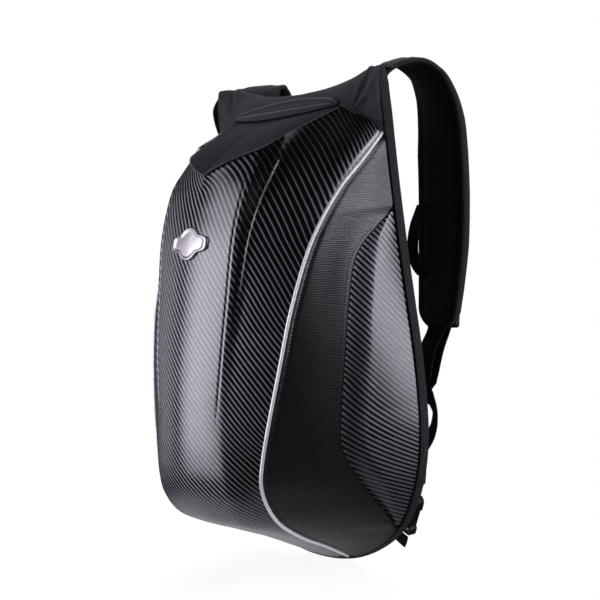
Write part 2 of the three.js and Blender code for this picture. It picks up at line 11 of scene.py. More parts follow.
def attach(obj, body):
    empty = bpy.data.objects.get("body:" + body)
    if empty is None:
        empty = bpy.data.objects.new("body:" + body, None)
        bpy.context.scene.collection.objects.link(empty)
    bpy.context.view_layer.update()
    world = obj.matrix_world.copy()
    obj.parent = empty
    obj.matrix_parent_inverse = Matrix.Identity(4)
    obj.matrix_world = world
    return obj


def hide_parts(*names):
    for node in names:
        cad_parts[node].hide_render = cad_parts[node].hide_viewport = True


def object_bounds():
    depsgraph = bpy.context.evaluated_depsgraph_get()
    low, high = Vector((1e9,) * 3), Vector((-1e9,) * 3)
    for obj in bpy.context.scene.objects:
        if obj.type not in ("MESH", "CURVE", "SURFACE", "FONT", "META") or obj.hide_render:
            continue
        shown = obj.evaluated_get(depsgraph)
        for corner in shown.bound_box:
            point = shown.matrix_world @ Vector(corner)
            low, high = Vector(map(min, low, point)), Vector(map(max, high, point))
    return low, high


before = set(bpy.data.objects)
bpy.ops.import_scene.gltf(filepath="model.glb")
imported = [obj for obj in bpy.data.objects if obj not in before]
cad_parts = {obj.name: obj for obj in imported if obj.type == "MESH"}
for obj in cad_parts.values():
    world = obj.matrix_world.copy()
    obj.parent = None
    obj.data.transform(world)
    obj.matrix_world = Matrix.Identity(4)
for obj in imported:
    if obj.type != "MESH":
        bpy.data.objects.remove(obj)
CAD_BOX = [list(corner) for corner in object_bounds()]

bl_info = {
    "name": "Motorcycle Backpack",
    "version": (1, 0, 0),
    "blender": (4, 5, 0),
    "location": "3D View > Sidebar > Backpack",
    "description": "Builds the visible pieces of a hard-shell motorcycle backpack",
    "category": "Add Mesh",
}

# ---------------------------------------------------------------- sizes
# Tables are in millimetres: x to the right, y back from a plane behind the back panel, and height from
# the lowest point
MM = 0.001
TO_FRAME = np.array([0.0, 5.0, -250.0])

# The shell's ribs from the underside's rear edge to the top edge: crown, crease, foot, wing and piping
RIB_NAMES = ("crown", "crease", "foot", "wing", "piping")
SHELL_STATIONS = (
    ((0, -17, 0.4), (12, -17, 0.7), (14, -17, 0.9), (26, -17, 2.4), (40, -17, 6)),
    ((0, -70, 27), (30, -70, 27.5), (33, -70, 27.5), (46, -69, 28.5), (62, -67, 30)),
    ((0, -130, 51), (44, -128, 52), (47, -127, 52), (60, -121, 51.5), (74, -110, 50)),
    ((0, -175, 71), (50, -169, 71), (53, -168, 71), (66, -158.5, 71.5), (79, -141, 71)),
    ((0, -192, 95), (53, -184, 94), (56, -183, 94), (69, -173.5, 93.5), (81, -156, 92)),
    ((0, -197, 115), (54, -188, 115), (57, -187, 115), (71, -178, 114), (85, -164, 113)),
    ((0, -198, 140), (55, -188, 140), (58.5, -186.5, 140), (75, -177, 139), (90, -164, 138)),
    ((0, -196, 178), (56, -185, 178), (61, -182.5, 177), (80, -173.5, 173), (97, -161, 168)),
    ((0, -190, 237), (61, -179, 237), (67, -174.5, 236), (89, -165, 232), (108.6, -150, 230)),
    ((0, -181, 295), (64, -170, 295), (70.5, -162, 294), (94.5, -153, 290), (116, -138, 283)),
    ((0, -170, 354), (66, -160, 354), (73, -147.5, 353), (98, -133, 352), (122, -111, 349)),
    ((0, -160, 384), (66.5, -150.5, 386), (73, -132, 390), (100, -106.5, 397), (126, -74.8, 398)),
    ((0, -152, 404), (66, -139, 412), (74, -118, 421), (98, -76, 437), (130, -45, 426)),
    ((0, -145, 420), (60, -115.5, 443), (73.5, -98, 455), (88, -32, 483), (132, -13.5, 456)),
)
# Points across the lines that shape the hood, the step beside it and the wing
HOOD_POINTS, STEP_POINTS, WING_POINTS = 80, 24, 100
# Columns of the shell's mesh beside the hood's edge, closest about its groove
BESIDE_EDGE = (-10, -8.6, -7.7, -7.3, -7, -6.7, -6.3, -5.4, -4.2, -3, -2, -1, 0)
HOOD_BEND = 1.9
# Relief of the shell: distance from the hood's edge, width and height
GROOVE_AT, GROOVE_WIDTH = -7, 0.5
LIP_AT, LIP_WIDTH, LIP_HIGH = -3.2, 2.4, 0.75
BAND_WIDTH = 14
RIDGE_HIGH, RIDGE_WIDTH = 0.9, 0.8
# How close the twill lies along the shell: height and tows for each tow's width
TWILL_DRAW = ((150, 1.05), (295, 0.85), (420, 0.62))
# The back panel's outline, right half from bottom to top: x and height
OUTLINE = (
    (0, 0), (35, 2.5), (64, 10), (102, 30), (130, 57), (151, 99), (160, 141), (161, 181), (158, 232), (152, 282),
    (146, 333), (140.3, 390), (136.8, 430), (135.5, 462), (131, 482), (119, 492), (90, 495), (0, 496),
)
# Front edge of the side insert: height and share of the way from piping to back panel
INSERT_EDGE = (
    (46, 1), (50, 0.94), (79, 0.75), (99, 0.65), (121, 0.56), (136, 0.503), (148, 0.477), (191, 0.462), (243, 0.467),
    (300, 0.48), (320, 0.49), (333, 0.52), (345, 0.59), (358, 0.72), (366, 0.825), (374, 0.945), (378, 1),
)
# The yoke from its middle to the gusset's outer edge: front edge, top fold and the lining's end
YOKE_SECTIONS = (
    ((0, -20.5, 495.5), (0, -5, 506), (0, -4.5, 496.5)),
    ((45, -23.5, 493), (42, -4.5, 508.5), (42, -4, 498)),
    ((88, -29.5, 488), (78, -5.5, 514), (70, 2.5, 509)),
    ((112, -24, 473.5), (111, -10, 521.5), (104, 8, 518.5)),
    ((134.5, -18.5, 461), (136, -18, 521), (133, 3, 521)),
)
# Folds pressed into the yoke: from and to (place across, place up), depth and width in millimetres
YOKE_FOLDS = (
    ((0.63, 0.10), (0.76, 0.96), 1.5, 3.0),
    ((0.64, 0.08), (0.84, 0.95), -1.7, 2.4),
    ((0.66, 0.08), (0.95, 0.80), 1.7, 2.6),
    ((0.66, 0.06), (0.97, 0.52), -1.5, 2.2),
    ((0.66, 0.03), (0.97, 0.28), 1.3, 2.4),
)
# The tape's upper stretch along the gusset's outer edge
TAPE_TOP = ((136.9, -11, 436), (138, -14.5, 472), (140, -18.3, 490), (140, -19, 504), (136, -15, 517.5))
# The right shoulder strap: middle, width, thickness and direction from inner to outer edge
STRAP_STATIONS = (
    ((93, -0.2, 490), 58, 8, (0.95, 0.12, 0.3)),
    ((95, 4.6, 505.6), 62, 8, (0.92, -0.05, 0.3)),
    ((99, 12.3, 516), 67, 8, (0.94, -0.14, 0.18)),
    ((105, 27, 525), 67, 8.5, (0.98, -0.15, 0.02)),
    ((111.5, 46, 526.5), 65, 9, (1, -0.18, -0.08)),
    ((117.5, 63, 515), 63, 9.5, (1, -0.2, -0.08)),
    ((121.5, 72, 494.5), 66, 12, (1, -0.17, -0.03)),
    ((124, 76, 465), 69, 14.5, (1, -0.08, 0)),
    ((124.5, 75.5, 430), 70, 16, (1, -0.02, 0)),
    ((123.5, 75, 385), 70, 16, (1, 0, 0)),
    ((121.5, 72.5, 335), 69, 16, (1, 0, 0)),
    ((119, 68, 290), 63, 15, (1, 0, 0)),
    ((117, 62, 247), 55, 13, (1, 0, 0)),
)
# The left strap slumps: its middle from the third station on, as it would lie on the right side
LEFT_ARCH = (
    (101, 11.5, 519), (107, 21.5, 523.5), (112.5, 34, 518), (117, 45, 503), (120.5, 53.5, 481), (123, 63, 456),
    (124, 71, 424),
)
STRAP_END_ROUNDING = 20
# Webbing routes on the right side, the lower one with its turn in degrees
LOWER_WEBBING = (
    ((118.5, 70.5, 252), 0), ((118, 63.5, 239), 0), ((118, 55, 224.5), 0), ((119, 49.2, 213.8), 0),
    ((121, 42.4, 199.8), 4), ((124, 35.9, 189.1), 12), ((130, 29.6, 181.8), 22), ((137, 26.3, 175.3), 32),
    ((144, 22.3, 165.8), 38), ((147, 17.7, 154.2), 36), ((147, 10.9, 142), 26), ((145, 5, 134.5), 14),
    ((141.5, 0.4, 128), 4), ((138, -2, 121), 0),
)
# Straight webbing: node, width, thickness and route
WEBBING_ROUTES = (
    ("strap_tail", 25, 2.2, ((117, 61.5, 254), (117, 58.5, 244.5), (117, 50.5, 234), (117, 42.5, 223),
                             (117, 37.8, 210), (117, 34.5, 198), (117, 30.5, 189))),
    ("chest_loop", 16, 2.2, ((98.5, 67.3, 378), (98.5, 62, 369), (98.5, 55.5, 358), (98.5, 50, 340),
                             (98.5, 49.5, 324), (98.5, 55, 311.5), (98.5, 62, 303.5))),
    ("waist_tab", 20, 7, ((139.5, -1, 115), (139, -1, 106), (137, -1, 94.5))),
    ("waist_strap", 15, 2.2, ((108.8, 0.8, 36.2), (105, 2.5, 30.5), (100, 4.5, 24.5))),
)
SIDE_REAR_Y = -12.2
PIPING_RADIUS, CORD_RADIUS = 1.8, 1.2
INSERT_WALL = 2.0
TAPE_WIDTH, TAPE_THICKNESS, TAPE_CROWN = 11.5, 2.4, 0.4
LOWER_WEBBING_WIDTH, LOWER_WEBBING_THICKNESS = 25, 2.0
# The back pad's rings as shares of its outline, from the edge to the middle, and the one that is sewn
PAD_RINGS = (
    1.0, 0.99, 0.97, 0.945, 0.92, 0.905, 0.895, 0.885, 0.875, 0.86, 0.83, 0.79, 0.74, 0.68, 0.61, 0.53, 0.45, 0.37,
    0.29, 0.21, 0.13, 0.06,
)
PAD_SEAM = 0.89
PAD_FRONT_Y = -9.4
ADJUSTER = {"at": (119, 73, 254), "across": 34, "along": 16, "through": 6, "slot": 24, "bar": 3, "lean": -0.14}
BUCKLE = {"at": (120.5, 2, 60), "across": 22, "along": 44, "through": 10.5, "lean": 0.423}
BADGE = {"height": 352, "width": 60, "tall": 34}
# The badge from its middle to its rim: share of its outline and rise
BADGE_RINGS = (
    (0.02, 1.9), (0.2, 1.9), (0.4, 1.85), (0.58, 1.7), (0.7, 1.6), (0.76, 1.6), (0.8, 2.0), (0.84, 2.6), (0.9, 2.7),
    (0.94, 2.6), (0.97, 2.3), (0.99, 1.8), (1.0, 1.2), (1.0, 0.2),
)
BADGE_OUT = (0, -0.985, 0.17)
# Lights: azimuth and elevation in degrees, distance and size in metres, and brightness
LIGHTS = (
    ("front_box", -30, 6, 1.8, (1.7, 2.1), 4.2),
    ("front_upper_box", -34, 33, 1.8, (1.4, 0.8), 1.2),
    ("left_box", -74, 0, 1.8, (1.2, 1.6), 0.5),
    ("right_box", 114, 2, 1.8, (1.5, 1.35), 3.4),
    ("upper_right_box", 107, 28, 1.8, (0.8, 0.7), 8.0),
    ("top_box", 200, 62, 1.7, (1.6, 1.2), 4.0),
    ("rear_box", 215, 25, 1.9, (1.4, 1.6), 4.0),
)
LIGHT_COLOUR = (0.945, 0.9, 1.0)
LIGHT_AIM = Vector((0, -0.05, 0.05))
CAMERA_TARGET = Vector((0.079, -0.090, 0.0392))


# ---------------------------------------------------------------- settings
def length(label, words, value):
    return bpy.props.FloatProperty(name=label, description=words, default=value, unit="LENGTH")


def colour(label, words, value):
    return bpy.props.FloatVectorProperty(
        name=label, description=words, default=value, size=3, min=0, max=1, subtype="COLOR"
    )


def turn(label, words, degrees):
    return bpy.props.FloatProperty(name=label, description=words, default=math.radians(degrees), subtype="ANGLE")


def share(label, words, value):
    return bpy.props.FloatProperty(name=label, description=words, default=value, min=0, max=1, subtype="FACTOR")


class BackpackShellSettings(bpy.types.PropertyGroup):
    """Sizes and colours of the moulded pieces"""

    wall: length("Wall", "Thickness of the moulded shell", 0.0025)
    tow: length("Tow width", "Width of one tow in the twill film", 0.0017)
    rounding: length("Edge rounding", "How far the hood's edges are rounded", 0.0015)
    groove: length("Groove depth", "Depth of the line beside the hood's edge", 0.0007)
    dark: colour("Dark tows", "Colour of the tows that lie across", (0.0012, 0.0012, 0.0016))
    light: colour("Light tows", "Colour of the tows that lie along", (0.45, 0.432, 0.5))


class BackpackClothSettings(bpy.types.PropertyGroup):
    """Sizes and colours of the cloth pieces"""

    wall: length("Wall", "Thickness of the cloth with its backing", 0.002)
    yarn: length("Yarn width", "Width of one yarn in the weave", 0.0009)
    puff: length("Puff", "How far the side cloth stands out", 0.0045)
    side: colour("Side cloth", "Colour of the woven sides", (0.025, 0.024, 0.0285))
    top: colour("Top cloth", "Colour of the matte top flap", (0.03, 0.027, 0.0355))
    yoke: colour("Yoke cloth", "Colour of the yoke", (0.08, 0.073, 0.084))
    piping: colour("Piping", "Colour of the reflective piping", (0.9, 0.9, 0.93))


class BackpackHarnessSettings(bpy.types.PropertyGroup):
    """Sizes and colours of the back, straps and webbing"""

    trim: length("Trim width", "Width of the trim along the straps' edges", 0.009)
    pressure: bpy.props.FloatProperty(name="Pad pressure", description="Pressure that fills the back pad", default=4)
    swell: length("Pad swell", "Most that the back pad may swell", 0.007)
    mesh: colour("Mesh", "Colour of the spacer mesh", (0.052, 0.05, 0.057))
    webbing: colour("Webbing", "Colour of webbing and tape", (0.006, 0.0056, 0.0068))
    plastic: colour("Plastic", "Colour of the plastic buckles", (0.007, 0.007, 0.0078))


class BackpackStitchSettings(bpy.types.PropertyGroup):
    """Sizes and colour of the stitches"""

    pitch: length("Pitch", "Distance from stitch to stitch", 0.0042)
    long: length("Stitch length", "Length of one stitch", 0.003)
    radius: length("Thread radius", "Radius of the thread", 0.00036)
    thread: colour("Thread", "Colour of the thread", (0.016, 0.0155, 0.018))


class BackpackStageSettings(bpy.types.PropertyGroup):
    """Camera, light and floor"""

    azimuth: turn("Azimuth", "Camera's direction round the bag", 50)
    elevation: turn("Elevation", "Camera's height above level", 3.2)
    roll: turn("Roll", "Camera's tilt to one side", 3.5)
    distance: length("Distance", "Camera's distance from the bag", 1.35)
    lens: bpy.props.FloatProperty(name="Lens", description="Focal length", default=80.4, subtype="DISTANCE_CAMERA")
    floor: colour("Floor", "Colour of the floor", (0.45, 0.47, 0.43))
    dim: share("Surroundings", "Brightness of the room that the bag reflects", 0.025)


# ---------------------------------------------------------------- curves and grids
def place(points):
    return np.asarray(points, float) + TO_FRAME


def unit(vectors):
    return vectors / np.maximum(np.linalg.norm(vectors, axis=-1, keepdims=True), 1e-9)


def ease(value, low, high):
    t = np.clip((value - low) / (high - low), 0, 1)
    return t * t * (3 - 2 * t)


def within(value, start, full, fade, end):
    """One inside a range and nought outside it, with eased sides."""
    return ease(value, start, full) * (1 - ease(value, fade, end))


def hump(value, middle, width):
    """A smooth hump that is one in its middle."""
    return np.exp(-(((value - middle) / width) ** 2))


def reached(points):
    """Length along a line up to each of its points."""
    steps = np.linalg.norm(np.diff(points, axis=0), axis=1)
    return np.concatenate([[0.0], np.cumsum(steps)])


class Curve:
    """A smooth line through points."""

    def __init__(self, points):
        points = np.asarray(points, float)
        self.count = len(points) - 1
        self.posts = np.vstack([2 * points[0] - points[1], points, 2 * points[-1] - points[-2]])
        self.stops = np.linspace(0, 1, 60 * self.count + 1)
        self.lengths = reached(self.at(self.stops))
        self.length = self.lengths[-1]

    def at(self, stops):
        """Points at stops from 0 to 1, counted from post to post."""
        stops = np.clip(np.atleast_1d(np.asarray(stops, float)), 0, 1) * self.count
        k = np.minimum(stops.astype(int), self.count - 1)
        w = (stops - k)[:, None]
        a, b, c, d = (self.posts[k + n] for n in range(4))
        before, here, after = (
            np.maximum(np.sum((q - p) ** 2, axis=1), 1e-12)[:, None] ** 0.25 for p, q in ((a, b), (b, c), (c, d))
        )
        leave = ((b - a) / before - (c - a) / (before + here) + (c - b) / here) * here
        enter = ((c - b) / here - (d - b) / (here + after) + (d - c) / after) * here
        return b + w * leave + w**2 * (3 * (c - b) - 2 * leave - enter) + w**3 * (2 * (b - c) + leave + enter)

    def stop_at(self, along):
        return np.interp(np.asarray(along) * self.length, self.lengths, self.stops)

    def along(self, along):
        """Points at shares of the length."""
        return self.at(self.stop_at(along))

    def tangent(self, along):
        along = np.atleast_1d(np.asarray(along, float))
        return unit(self.along(np.minimum(along + 1e-3, 1)) - self.along(np.maximum(along - 1e-3, 0)))


def normals(grid):
    return unit(np.cross(np.gradient(grid, axis=1), np.gradient(grid, axis=0)))


def mirrored(grid):
    return grid[:, ::-1] * (-1, 1, 1)


def softened(line, spots, radius):
    """Points at distances along a line whose corners are rounded."""
    lengths = reached(line)
    shifts = np.linspace(-2, 2, 9)
    weights = np.exp(-(shifts**2) / 2)
    reach = np.minimum(radius, np.minimum(spots, lengths[-1] - spots) / 2)
    total = np.zeros((len(spots), 3))
    for shift, weight in zip(shifts, weights / weights.sum()):
        where = spots + shift * np.maximum(reach, 0)
        total += weight * np.stack([np.interp(where, lengths, line[:, k]) for k in range(3)], axis=1)
    return total


def run_across(grid):
    """Distance along each row of a grid, from its first point."""
    return np.cumsum(np.linalg.norm(np.diff(grid, axis=1, prepend=grid[:, :1]), axis=2), axis=1)


def run_along(grid):
    """Distance along each column of a grid, from its first point."""
    return run_across(grid.transpose(1, 0, 2)).T


def ringed(values):
    """Rows that close on themselves, with their first value again at the end."""
    return np.concatenate([values, values[:, :1]], axis=1)


def grid_places(grid):
    """Distances across and along a grid, for a pattern that follows it."""
    across = run_across(grid)
    across -= across[:, -1:] / 2
    along = run_along(grid)
    return np.stack([across, np.broadcast_to(along.mean(axis=1, keepdims=True), across.shape)], axis=2)


def grid_area(grid):
    return float(np.linalg.norm(
        np.cross(np.diff(grid, axis=1)[:-1], np.diff(grid, axis=0)[:, :-1]), axis=2
    ).sum()) * MM * MM


# ---------------------------------------------------------------- meshes
class MeshPlan:
    """Points, faces and pattern places gathered for one mesh, in millimetres."""

    def __init__(self):
        self.points, self.faces, self.places, self.finishes, self.total = [], [], [], [], 0

    def add_points(self, points):
        points = np.asarray(points, float).reshape(-1, 3)
        numbers = self.total + np.arange(len(points))
        self.points.append(points)
        self.total += len(points)
        return numbers

    def add_faces(self, faces, places, finish=0):
        self.faces.append(np.asarray(faces))
        self.places.append(np.asarray(places, float))
        self.finishes.append(np.broadcast_to(finish, len(faces)))

    def grid(self, points, places, closed=False, turned=False, finish=0):
        numbers = self.add_points(points).reshape(points.shape[:2])
        ring = ringed(numbers) if closed else numbers
        faces, spots = (
            np.stack([t[:-1, :-1], t[:-1, 1:], t[1:, 1:], t[1:, :-1]], axis=2) for t in (ring, places)
        )
        finish = np.broadcast_to(finish, faces.shape[:2]).ravel()
        faces, spots = faces.reshape(-1, 4), spots.reshape(-1, 4, 2)
        if turned:
            faces, spots = faces[:, ::-1], spots[:, ::-1]
        self.add_faces(faces, spots, finish)
        return numbers

    def wall(self, grid, places, thickness, roll=0.0, finish=0):
        """A closed wall under a grid, with its edges rolled outwards."""
        inner = grid - normals(grid) * thickness
        top = self.grid(grid, places, finish=finish)
        under = self.grid(inner, places, turned=True, finish=finish)
        out = np.zeros_like(grid)
        out[0] += unit(grid[0] - grid[1])
        out[-1] += unit(grid[-1] - grid[-2])
        out[:, 0] += unit(grid[:, 0] - grid[:, 1])
        out[:, -1] += unit(grid[:, -1] - grid[:, -2])
        rows, columns = top.shape
        rim = [(0, j) for j in range(columns - 1)] + [(i, columns - 1) for i in range(rows - 1)]
        rim += [(rows - 1, j) for j in range(columns - 1, 0, -1)] + [(i, 0) for i in range(rows - 1, 0, -1)]
        i, j = np.array(rim).T
        middle = self.add_points((grid[i, j] + inner[i, j]) / 2 + unit(out[i, j]) * roll)
        spots = np.stack([np.roll(places[i, j], -1, axis=0), places[i, j]] * 2, axis=1)[:, [0, 1, 3, 2]]
        for upper, lower in ((top[i, j], middle), (middle, under[i, j])):
            faces = np.stack([np.roll(upper, -1), upper, lower, np.roll(lower, -1)], axis=1)
            self.add_faces(faces, spots, finish[0] if np.ndim(finish) else finish)

    def sweep(self, rows, section, finish=0):
        """A closed section carried along rows of centre, side and face directions, with its ends closed."""
        centre, side, face = rows
        points = centre[:, None] + side[:, None] * section[..., :1] + face[:, None] * section[..., 1:]
        across = run_across(ringed(points))
        across = np.broadcast_to(across.max(axis=0), across.shape)
        along = np.broadcast_to(reached(centre)[:, None], across.shape)
        numbers = self.grid(points, np.stack([across, along], axis=2), closed=True, finish=finish)
        for row in (numbers[0], numbers[-1]):
            self.fan(row, across[0, :-1, None, None])
        return points

    def fan(self, ring, places):
        """Closes a ring of points with triangles round its middle."""
        hub = self.add_points(np.concatenate(self.points)[ring].mean(axis=0))[0]
        faces = np.stack([ring, np.roll(ring, -1), np.full(len(ring), hub)], axis=1)
        self.add_faces(faces, np.broadcast_to(places, (len(ring), 3, 2)))

    def mesh(self, name, materials, sharp=38, painted_shading=None):
        mesh = bpy.data.meshes.new(name)
        faces = [face for group in self.faces for face in group.tolist()]
        mesh.from_pydata((np.concatenate(self.points) * MM).tolist(), [], faces)
        # Optional painted shading per point, set on both faces of a wall
        if painted_shading is not None:
            values = np.zeros(self.total)
            values[:2 * painted_shading.size] = np.tile(painted_shading.ravel(), 2)
            mesh.attributes.new("painted_shading", "FLOAT", "POINT").data.foreach_set("value", values)
        layer = mesh.uv_layers.new(name="UVMap")
        layer.data.foreach_set("uv", np.concatenate([spots.ravel() for spots in self.places]))
        mesh.polygons.foreach_set("material_index", np.concatenate(self.finishes).astype(np.int32))
        for material in materials:
            mesh.materials.append(material)
        return outward(mesh, sharp)


def outward(mesh, sharp=38):
    """Turns the faces outwards and shades them smooth, apart from sharp edges."""
    work = bmesh.new()
    work.from_mesh(mesh)
    bmesh.ops.remove_doubles(work, verts=work.verts, dist=1e-6)
    bmesh.ops.recalc_face_normals(work, faces=work.faces)
    work.to_mesh(mesh)
    work.free()
    mesh.polygons.foreach_set("use_smooth", np.ones(len(mesh.polygons), bool))
    mesh.set_sharp_from_angle(angle=math.radians(sharp))
    return mesh


def show(name, mesh):
    piece = bpy.data.objects.new(name, mesh)
    bpy.context.scene.collection.objects.link(piece)
    return piece


def fit(piece, slot, *nodes):
    """Fastens a finished piece to the frame in place of the nodes that it stands for."""
    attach(piece, "root")
    if nodes:
        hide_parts(*nodes)
    return piece


def copied_to_left(mesh, name):
    """A mirror copy of a mesh."""
    copy = mesh.copy()
    copy.name = name
    copy.transform(Matrix.Diagonal((-1, 1, 1, 1)))
    return outward(copy)


def show_pair(node, mesh, slot):
    """Fits a right piece and its mirror copy in place of a pair of nodes."""
    for side, made in (("right", mesh), ("left", copied_to_left(mesh, f"{node}_left"))):
        fit(show(f"{node}_{side}_piece", made), slot, f"{node}_{side}")


def frames(curve, along, hints):
    """Centre, side and face directions along a curve whose sides keep near the hints."""
    tangent = curve.tangent(along)
    hints = np.broadcast_to(np.asarray(hints, float), tangent.shape)
    side = unit(hints - tangent * np.sum(hints * tangent, axis=1, keepdims=True))
    return curve.along(along), side, np.cross(tangent, side)


def round_section(radius, sides):
    angle = np.linspace(0, 2 * np.pi, sides, endpoint=False)
    return radius * np.stack([np.cos(angle), np.sin(angle)], axis=1)


def strip_section(width, thick, crown=0.0):
    """A flat strip with half-round edges."""
    deep = thick / 2
    turn = np.linspace(-np.pi / 2, np.pi / 2, 5)
    flat = np.linspace(-1, 1, 7)[1:-1] * (width / 2 - deep)
    bulge = crown * (1 - (flat / (width / 2)) ** 2)
    right = np.stack([width / 2 - deep + deep * np.cos(turn), deep * np.sin(turn)], axis=1)
    upper = np.stack([flat[::-1], deep + bulge[::-1]], axis=1)
    return np.concatenate([right, upper, -right, -upper])


def swept_mesh(name, curve, steps, hint, section, material):
    along = np.linspace(0, 1, steps + 1)
    plan = MeshPlan()
    ring = np.broadcast_to(section, (steps + 1, *np.shape(section)[-2:]))
    plan.sweep(frames(curve, along, hint), ring)
    return plan.mesh(name, [material])


# ---------------------------------------------------------------- repeated small things
def input_ids(tree):
    return {
        item.name: item.identifier
        for item in tree.interface.items_tree
        if item.item_type == "SOCKET" and item.in_out == "INPUT"
    }


def add_node(tree, kind, inputs=None, **settings):
    """Adds a node, sets its own values, and sets or links its inputs."""
    node = tree.nodes.new(kind)
    for name, value in settings.items():
        setattr(node, name, value)
    for key, value in (inputs or {}).items():
        if isinstance(value, bpy.types.NodeSocket):
            tree.links.new(value, node.inputs[key])
        else:
            node.inputs[key].default_value = value
    return node


def row_tree(name, segments, rings, long_axis, turned):
    """Beads in rows along a mesh's lines, long on one axis, which may turn with the lines."""
    if name in bpy.data.node_groups:
        return bpy.data.node_groups[name]
    tree = bpy.data.node_groups.new(name, "GeometryNodeTree")
    tree.interface.new_socket("Lines", in_out="INPUT", socket_type="NodeSocketGeometry")
    for label, value in (("Pitch", 0.0042), ("Length", 0.003), ("Radius", 0.0004)):
        socket = tree.interface.new_socket(label, in_out="INPUT", socket_type="NodeSocketFloat")
        socket.default_value = value
    tree.interface.new_socket("Finish", in_out="INPUT", socket_type="NodeSocketMaterial")
    tree.interface.new_socket("Rows", in_out="OUTPUT", socket_type="NodeSocketGeometry")
    start = add_node(tree, "NodeGroupInput").outputs
    line = add_node(tree, "GeometryNodeMeshToCurve", {"Mesh": start["Lines"]})
    spots = add_node(
        tree, "GeometryNodeCurveToPoints", {"Curve": line.outputs[0], "Length": start["Pitch"]}, mode="LENGTH"
    ).outputs
    half = add_node(tree, "ShaderNodeMath", {0: start["Length"], 1: 0.5}, operation="MULTIPLY").outputs[0]
    size = add_node(
        tree, "ShaderNodeCombineXYZ", {axis: half if axis == long_axis else start["Radius"] for axis in "XYZ"}
    )
    bead = add_node(tree, "GeometryNodeMeshUVSphere", {"Segments": segments, "Rings": rings, "Radius": 1.0})
    beads = {"Points": spots["Points"], "Instance": bead.outputs["Mesh"], "Scale": size.outputs[0]}
    if turned:
        beads["Rotation"] = spots["Rotation"]
    rows = add_node(tree, "GeometryNodeInstanceOnPoints", beads)
    real = add_node(tree, "GeometryNodeRealizeInstances", {"Geometry": rows.outputs[0]})
    shade = add_node(tree, "GeometryNodeSetMaterial", {"Geometry": real.outputs[0], "Material": start["Finish"]})
    add_node(tree, "NodeGroupOutput", {"Rows": shade.outputs[0]})
    return tree


def stitch_tree():
    return row_tree("Stitch Rows", 6, 4, "Z", turned=True)


def rib_tree():
    return row_tree("Rib Row", 10, 7, "X", turned=False)


def grown(name, lines, tree, values):
    """The mesh that a tree makes along lines given in millimetres."""
    mesh = bpy.data.meshes.new(name)
    starts = np.cumsum([0] + [len(line) for line in lines])
    edges = [(first + k, first + k + 1) for first, line in zip(starts, lines) for k in range(len(line) - 1)]
    mesh.from_pydata((np.concatenate(lines) * MM).tolist(), edges, [])
    carrier = show(f"{name}_lines", mesh)
    modifier = carrier.modifiers.new("Rows", "NODES")
    modifier.node_group = tree
    for key, value in values.items():
        modifier[input_ids(tree)[key]] = value
    made = bpy.data.meshes.new_from_object(carrier.evaluated_get(bpy.context.evaluated_depsgraph_get()))
    made.name = name
    bpy.data.objects.remove(carrier)
    bpy.data.meshes.remove(mesh)
    made.polygons.foreach_set("use_smooth", np.ones(len(made.polygons), bool))
    return made


def stitched(name, lines, slot, long=None):
    """Stitches along lines, as one piece."""
    settings = bpy.context.scene.backpack_stitches
    values = {
        "Pitch": settings.pitch if long is None else long * 1.3,
        "Length": settings.long if long is None else long,
        "Radius": settings.radius,
        "Finish": thread_finish(),
    }
    return fit(show(name, grown(name, lines, stitch_tree(), values)), slot)


def both_sides(lines):
    return [*lines, *[line * (-1, 1, 1) for line in lines]]


# ---------------------------------------------------------------- materials
def made_once(store, name):
    """Lets a function make its material or node group once, and hand out the same one after that."""
    def keep(make):
        return lambda: getattr(bpy.data, store).get(name) or make()
    return keep


def value_group(name, inputs, outputs):
    """An empty shader group with named inputs and outputs, and its input sockets."""
    tree = bpy.data.node_groups.new(name, "ShaderNodeTree")
    for label, kind in inputs:
        tree.interface.new_socket(label, in_out="INPUT", socket_type=kind)
    for label in outputs:
        tree.interface.new_socket(label, in_out="OUTPUT", socket_type="NodeSocketFloat")
    return tree, add_node(tree, "NodeGroupInput").outputs


def calc(tree, operation, *values):
    return add_node(tree, "ShaderNodeMath", dict(enumerate(values)), operation=operation).outputs[0]


def rounded(tree, value):
    """A half wave in each whole step of a value."""
    return calc(tree, "SINE", calc(tree, "MULTIPLY", calc(tree, "FRACT", value), math.pi))


def woven(tree, place, repeat, top=None):
    """Gives a group its outputs: which yarn lies on top, and the rounding of the yarns."""
    split = add_node(tree, "ShaderNodeSeparateXYZ", {0: place}).outputs
    cells = calc(tree, "ADD", calc(tree, "FLOOR", split["X"]), calc(tree, "FLOOR", split["Y"]))
    warp = calc(tree, "FLOORED_MODULO", cells, repeat)
    if top:
        warp = calc(tree, "LESS_THAN", warp, top)
    relief = add_node(
        tree, "ShaderNodeMix", {0: warp, 2: rounded(tree, split["Y"]), 3: rounded(tree, split["X"])}, data_type="FLOAT"
    )
    add_node(tree, "NodeGroupOutput", {"Warp": warp, "Relief": relief.outputs[0]})
    return tree


@made_once("node_groups", "Twill")
def twill_group():
    tree, start = value_group(
        "Twill", [("Tows", "NodeSocketVector"), ("Bright", "NodeSocketFloat")], ["Warp", "Relief"]
    )
    return woven(tree, start["Tows"], 12.0, start["Bright"])


@made_once("node_groups", "Plain Weave")
def weave_group():
    tree, start = value_group("Plain Weave", [("Yarns", "NodeSocketVector")], ["Warp", "Relief"])
    return woven(tree, start["Yarns"], 2.0)


@made_once("node_groups", "Webbing Ribs")
def rib_group():
    """Ribs that run along webbing, broken up by the yarns that cross them."""
    tree, start = value_group("Webbing Ribs", [("Ribs", "NodeSocketVector")], ["Relief"])
    split = add_node(tree, "ShaderNodeSeparateXYZ", {0: start["Ribs"]}).outputs
    shift = calc(tree, "MULTIPLY", calc(tree, "FLOOR", split["X"]), 0.5)
    picks = rounded(tree, calc(tree, "ADD", split["Y"], shift))
    relief = calc(tree, "MULTIPLY", rounded(tree, split["X"]), picks)
    add_node(tree, "NodeGroupOutput", {"Relief": relief})
    return tree


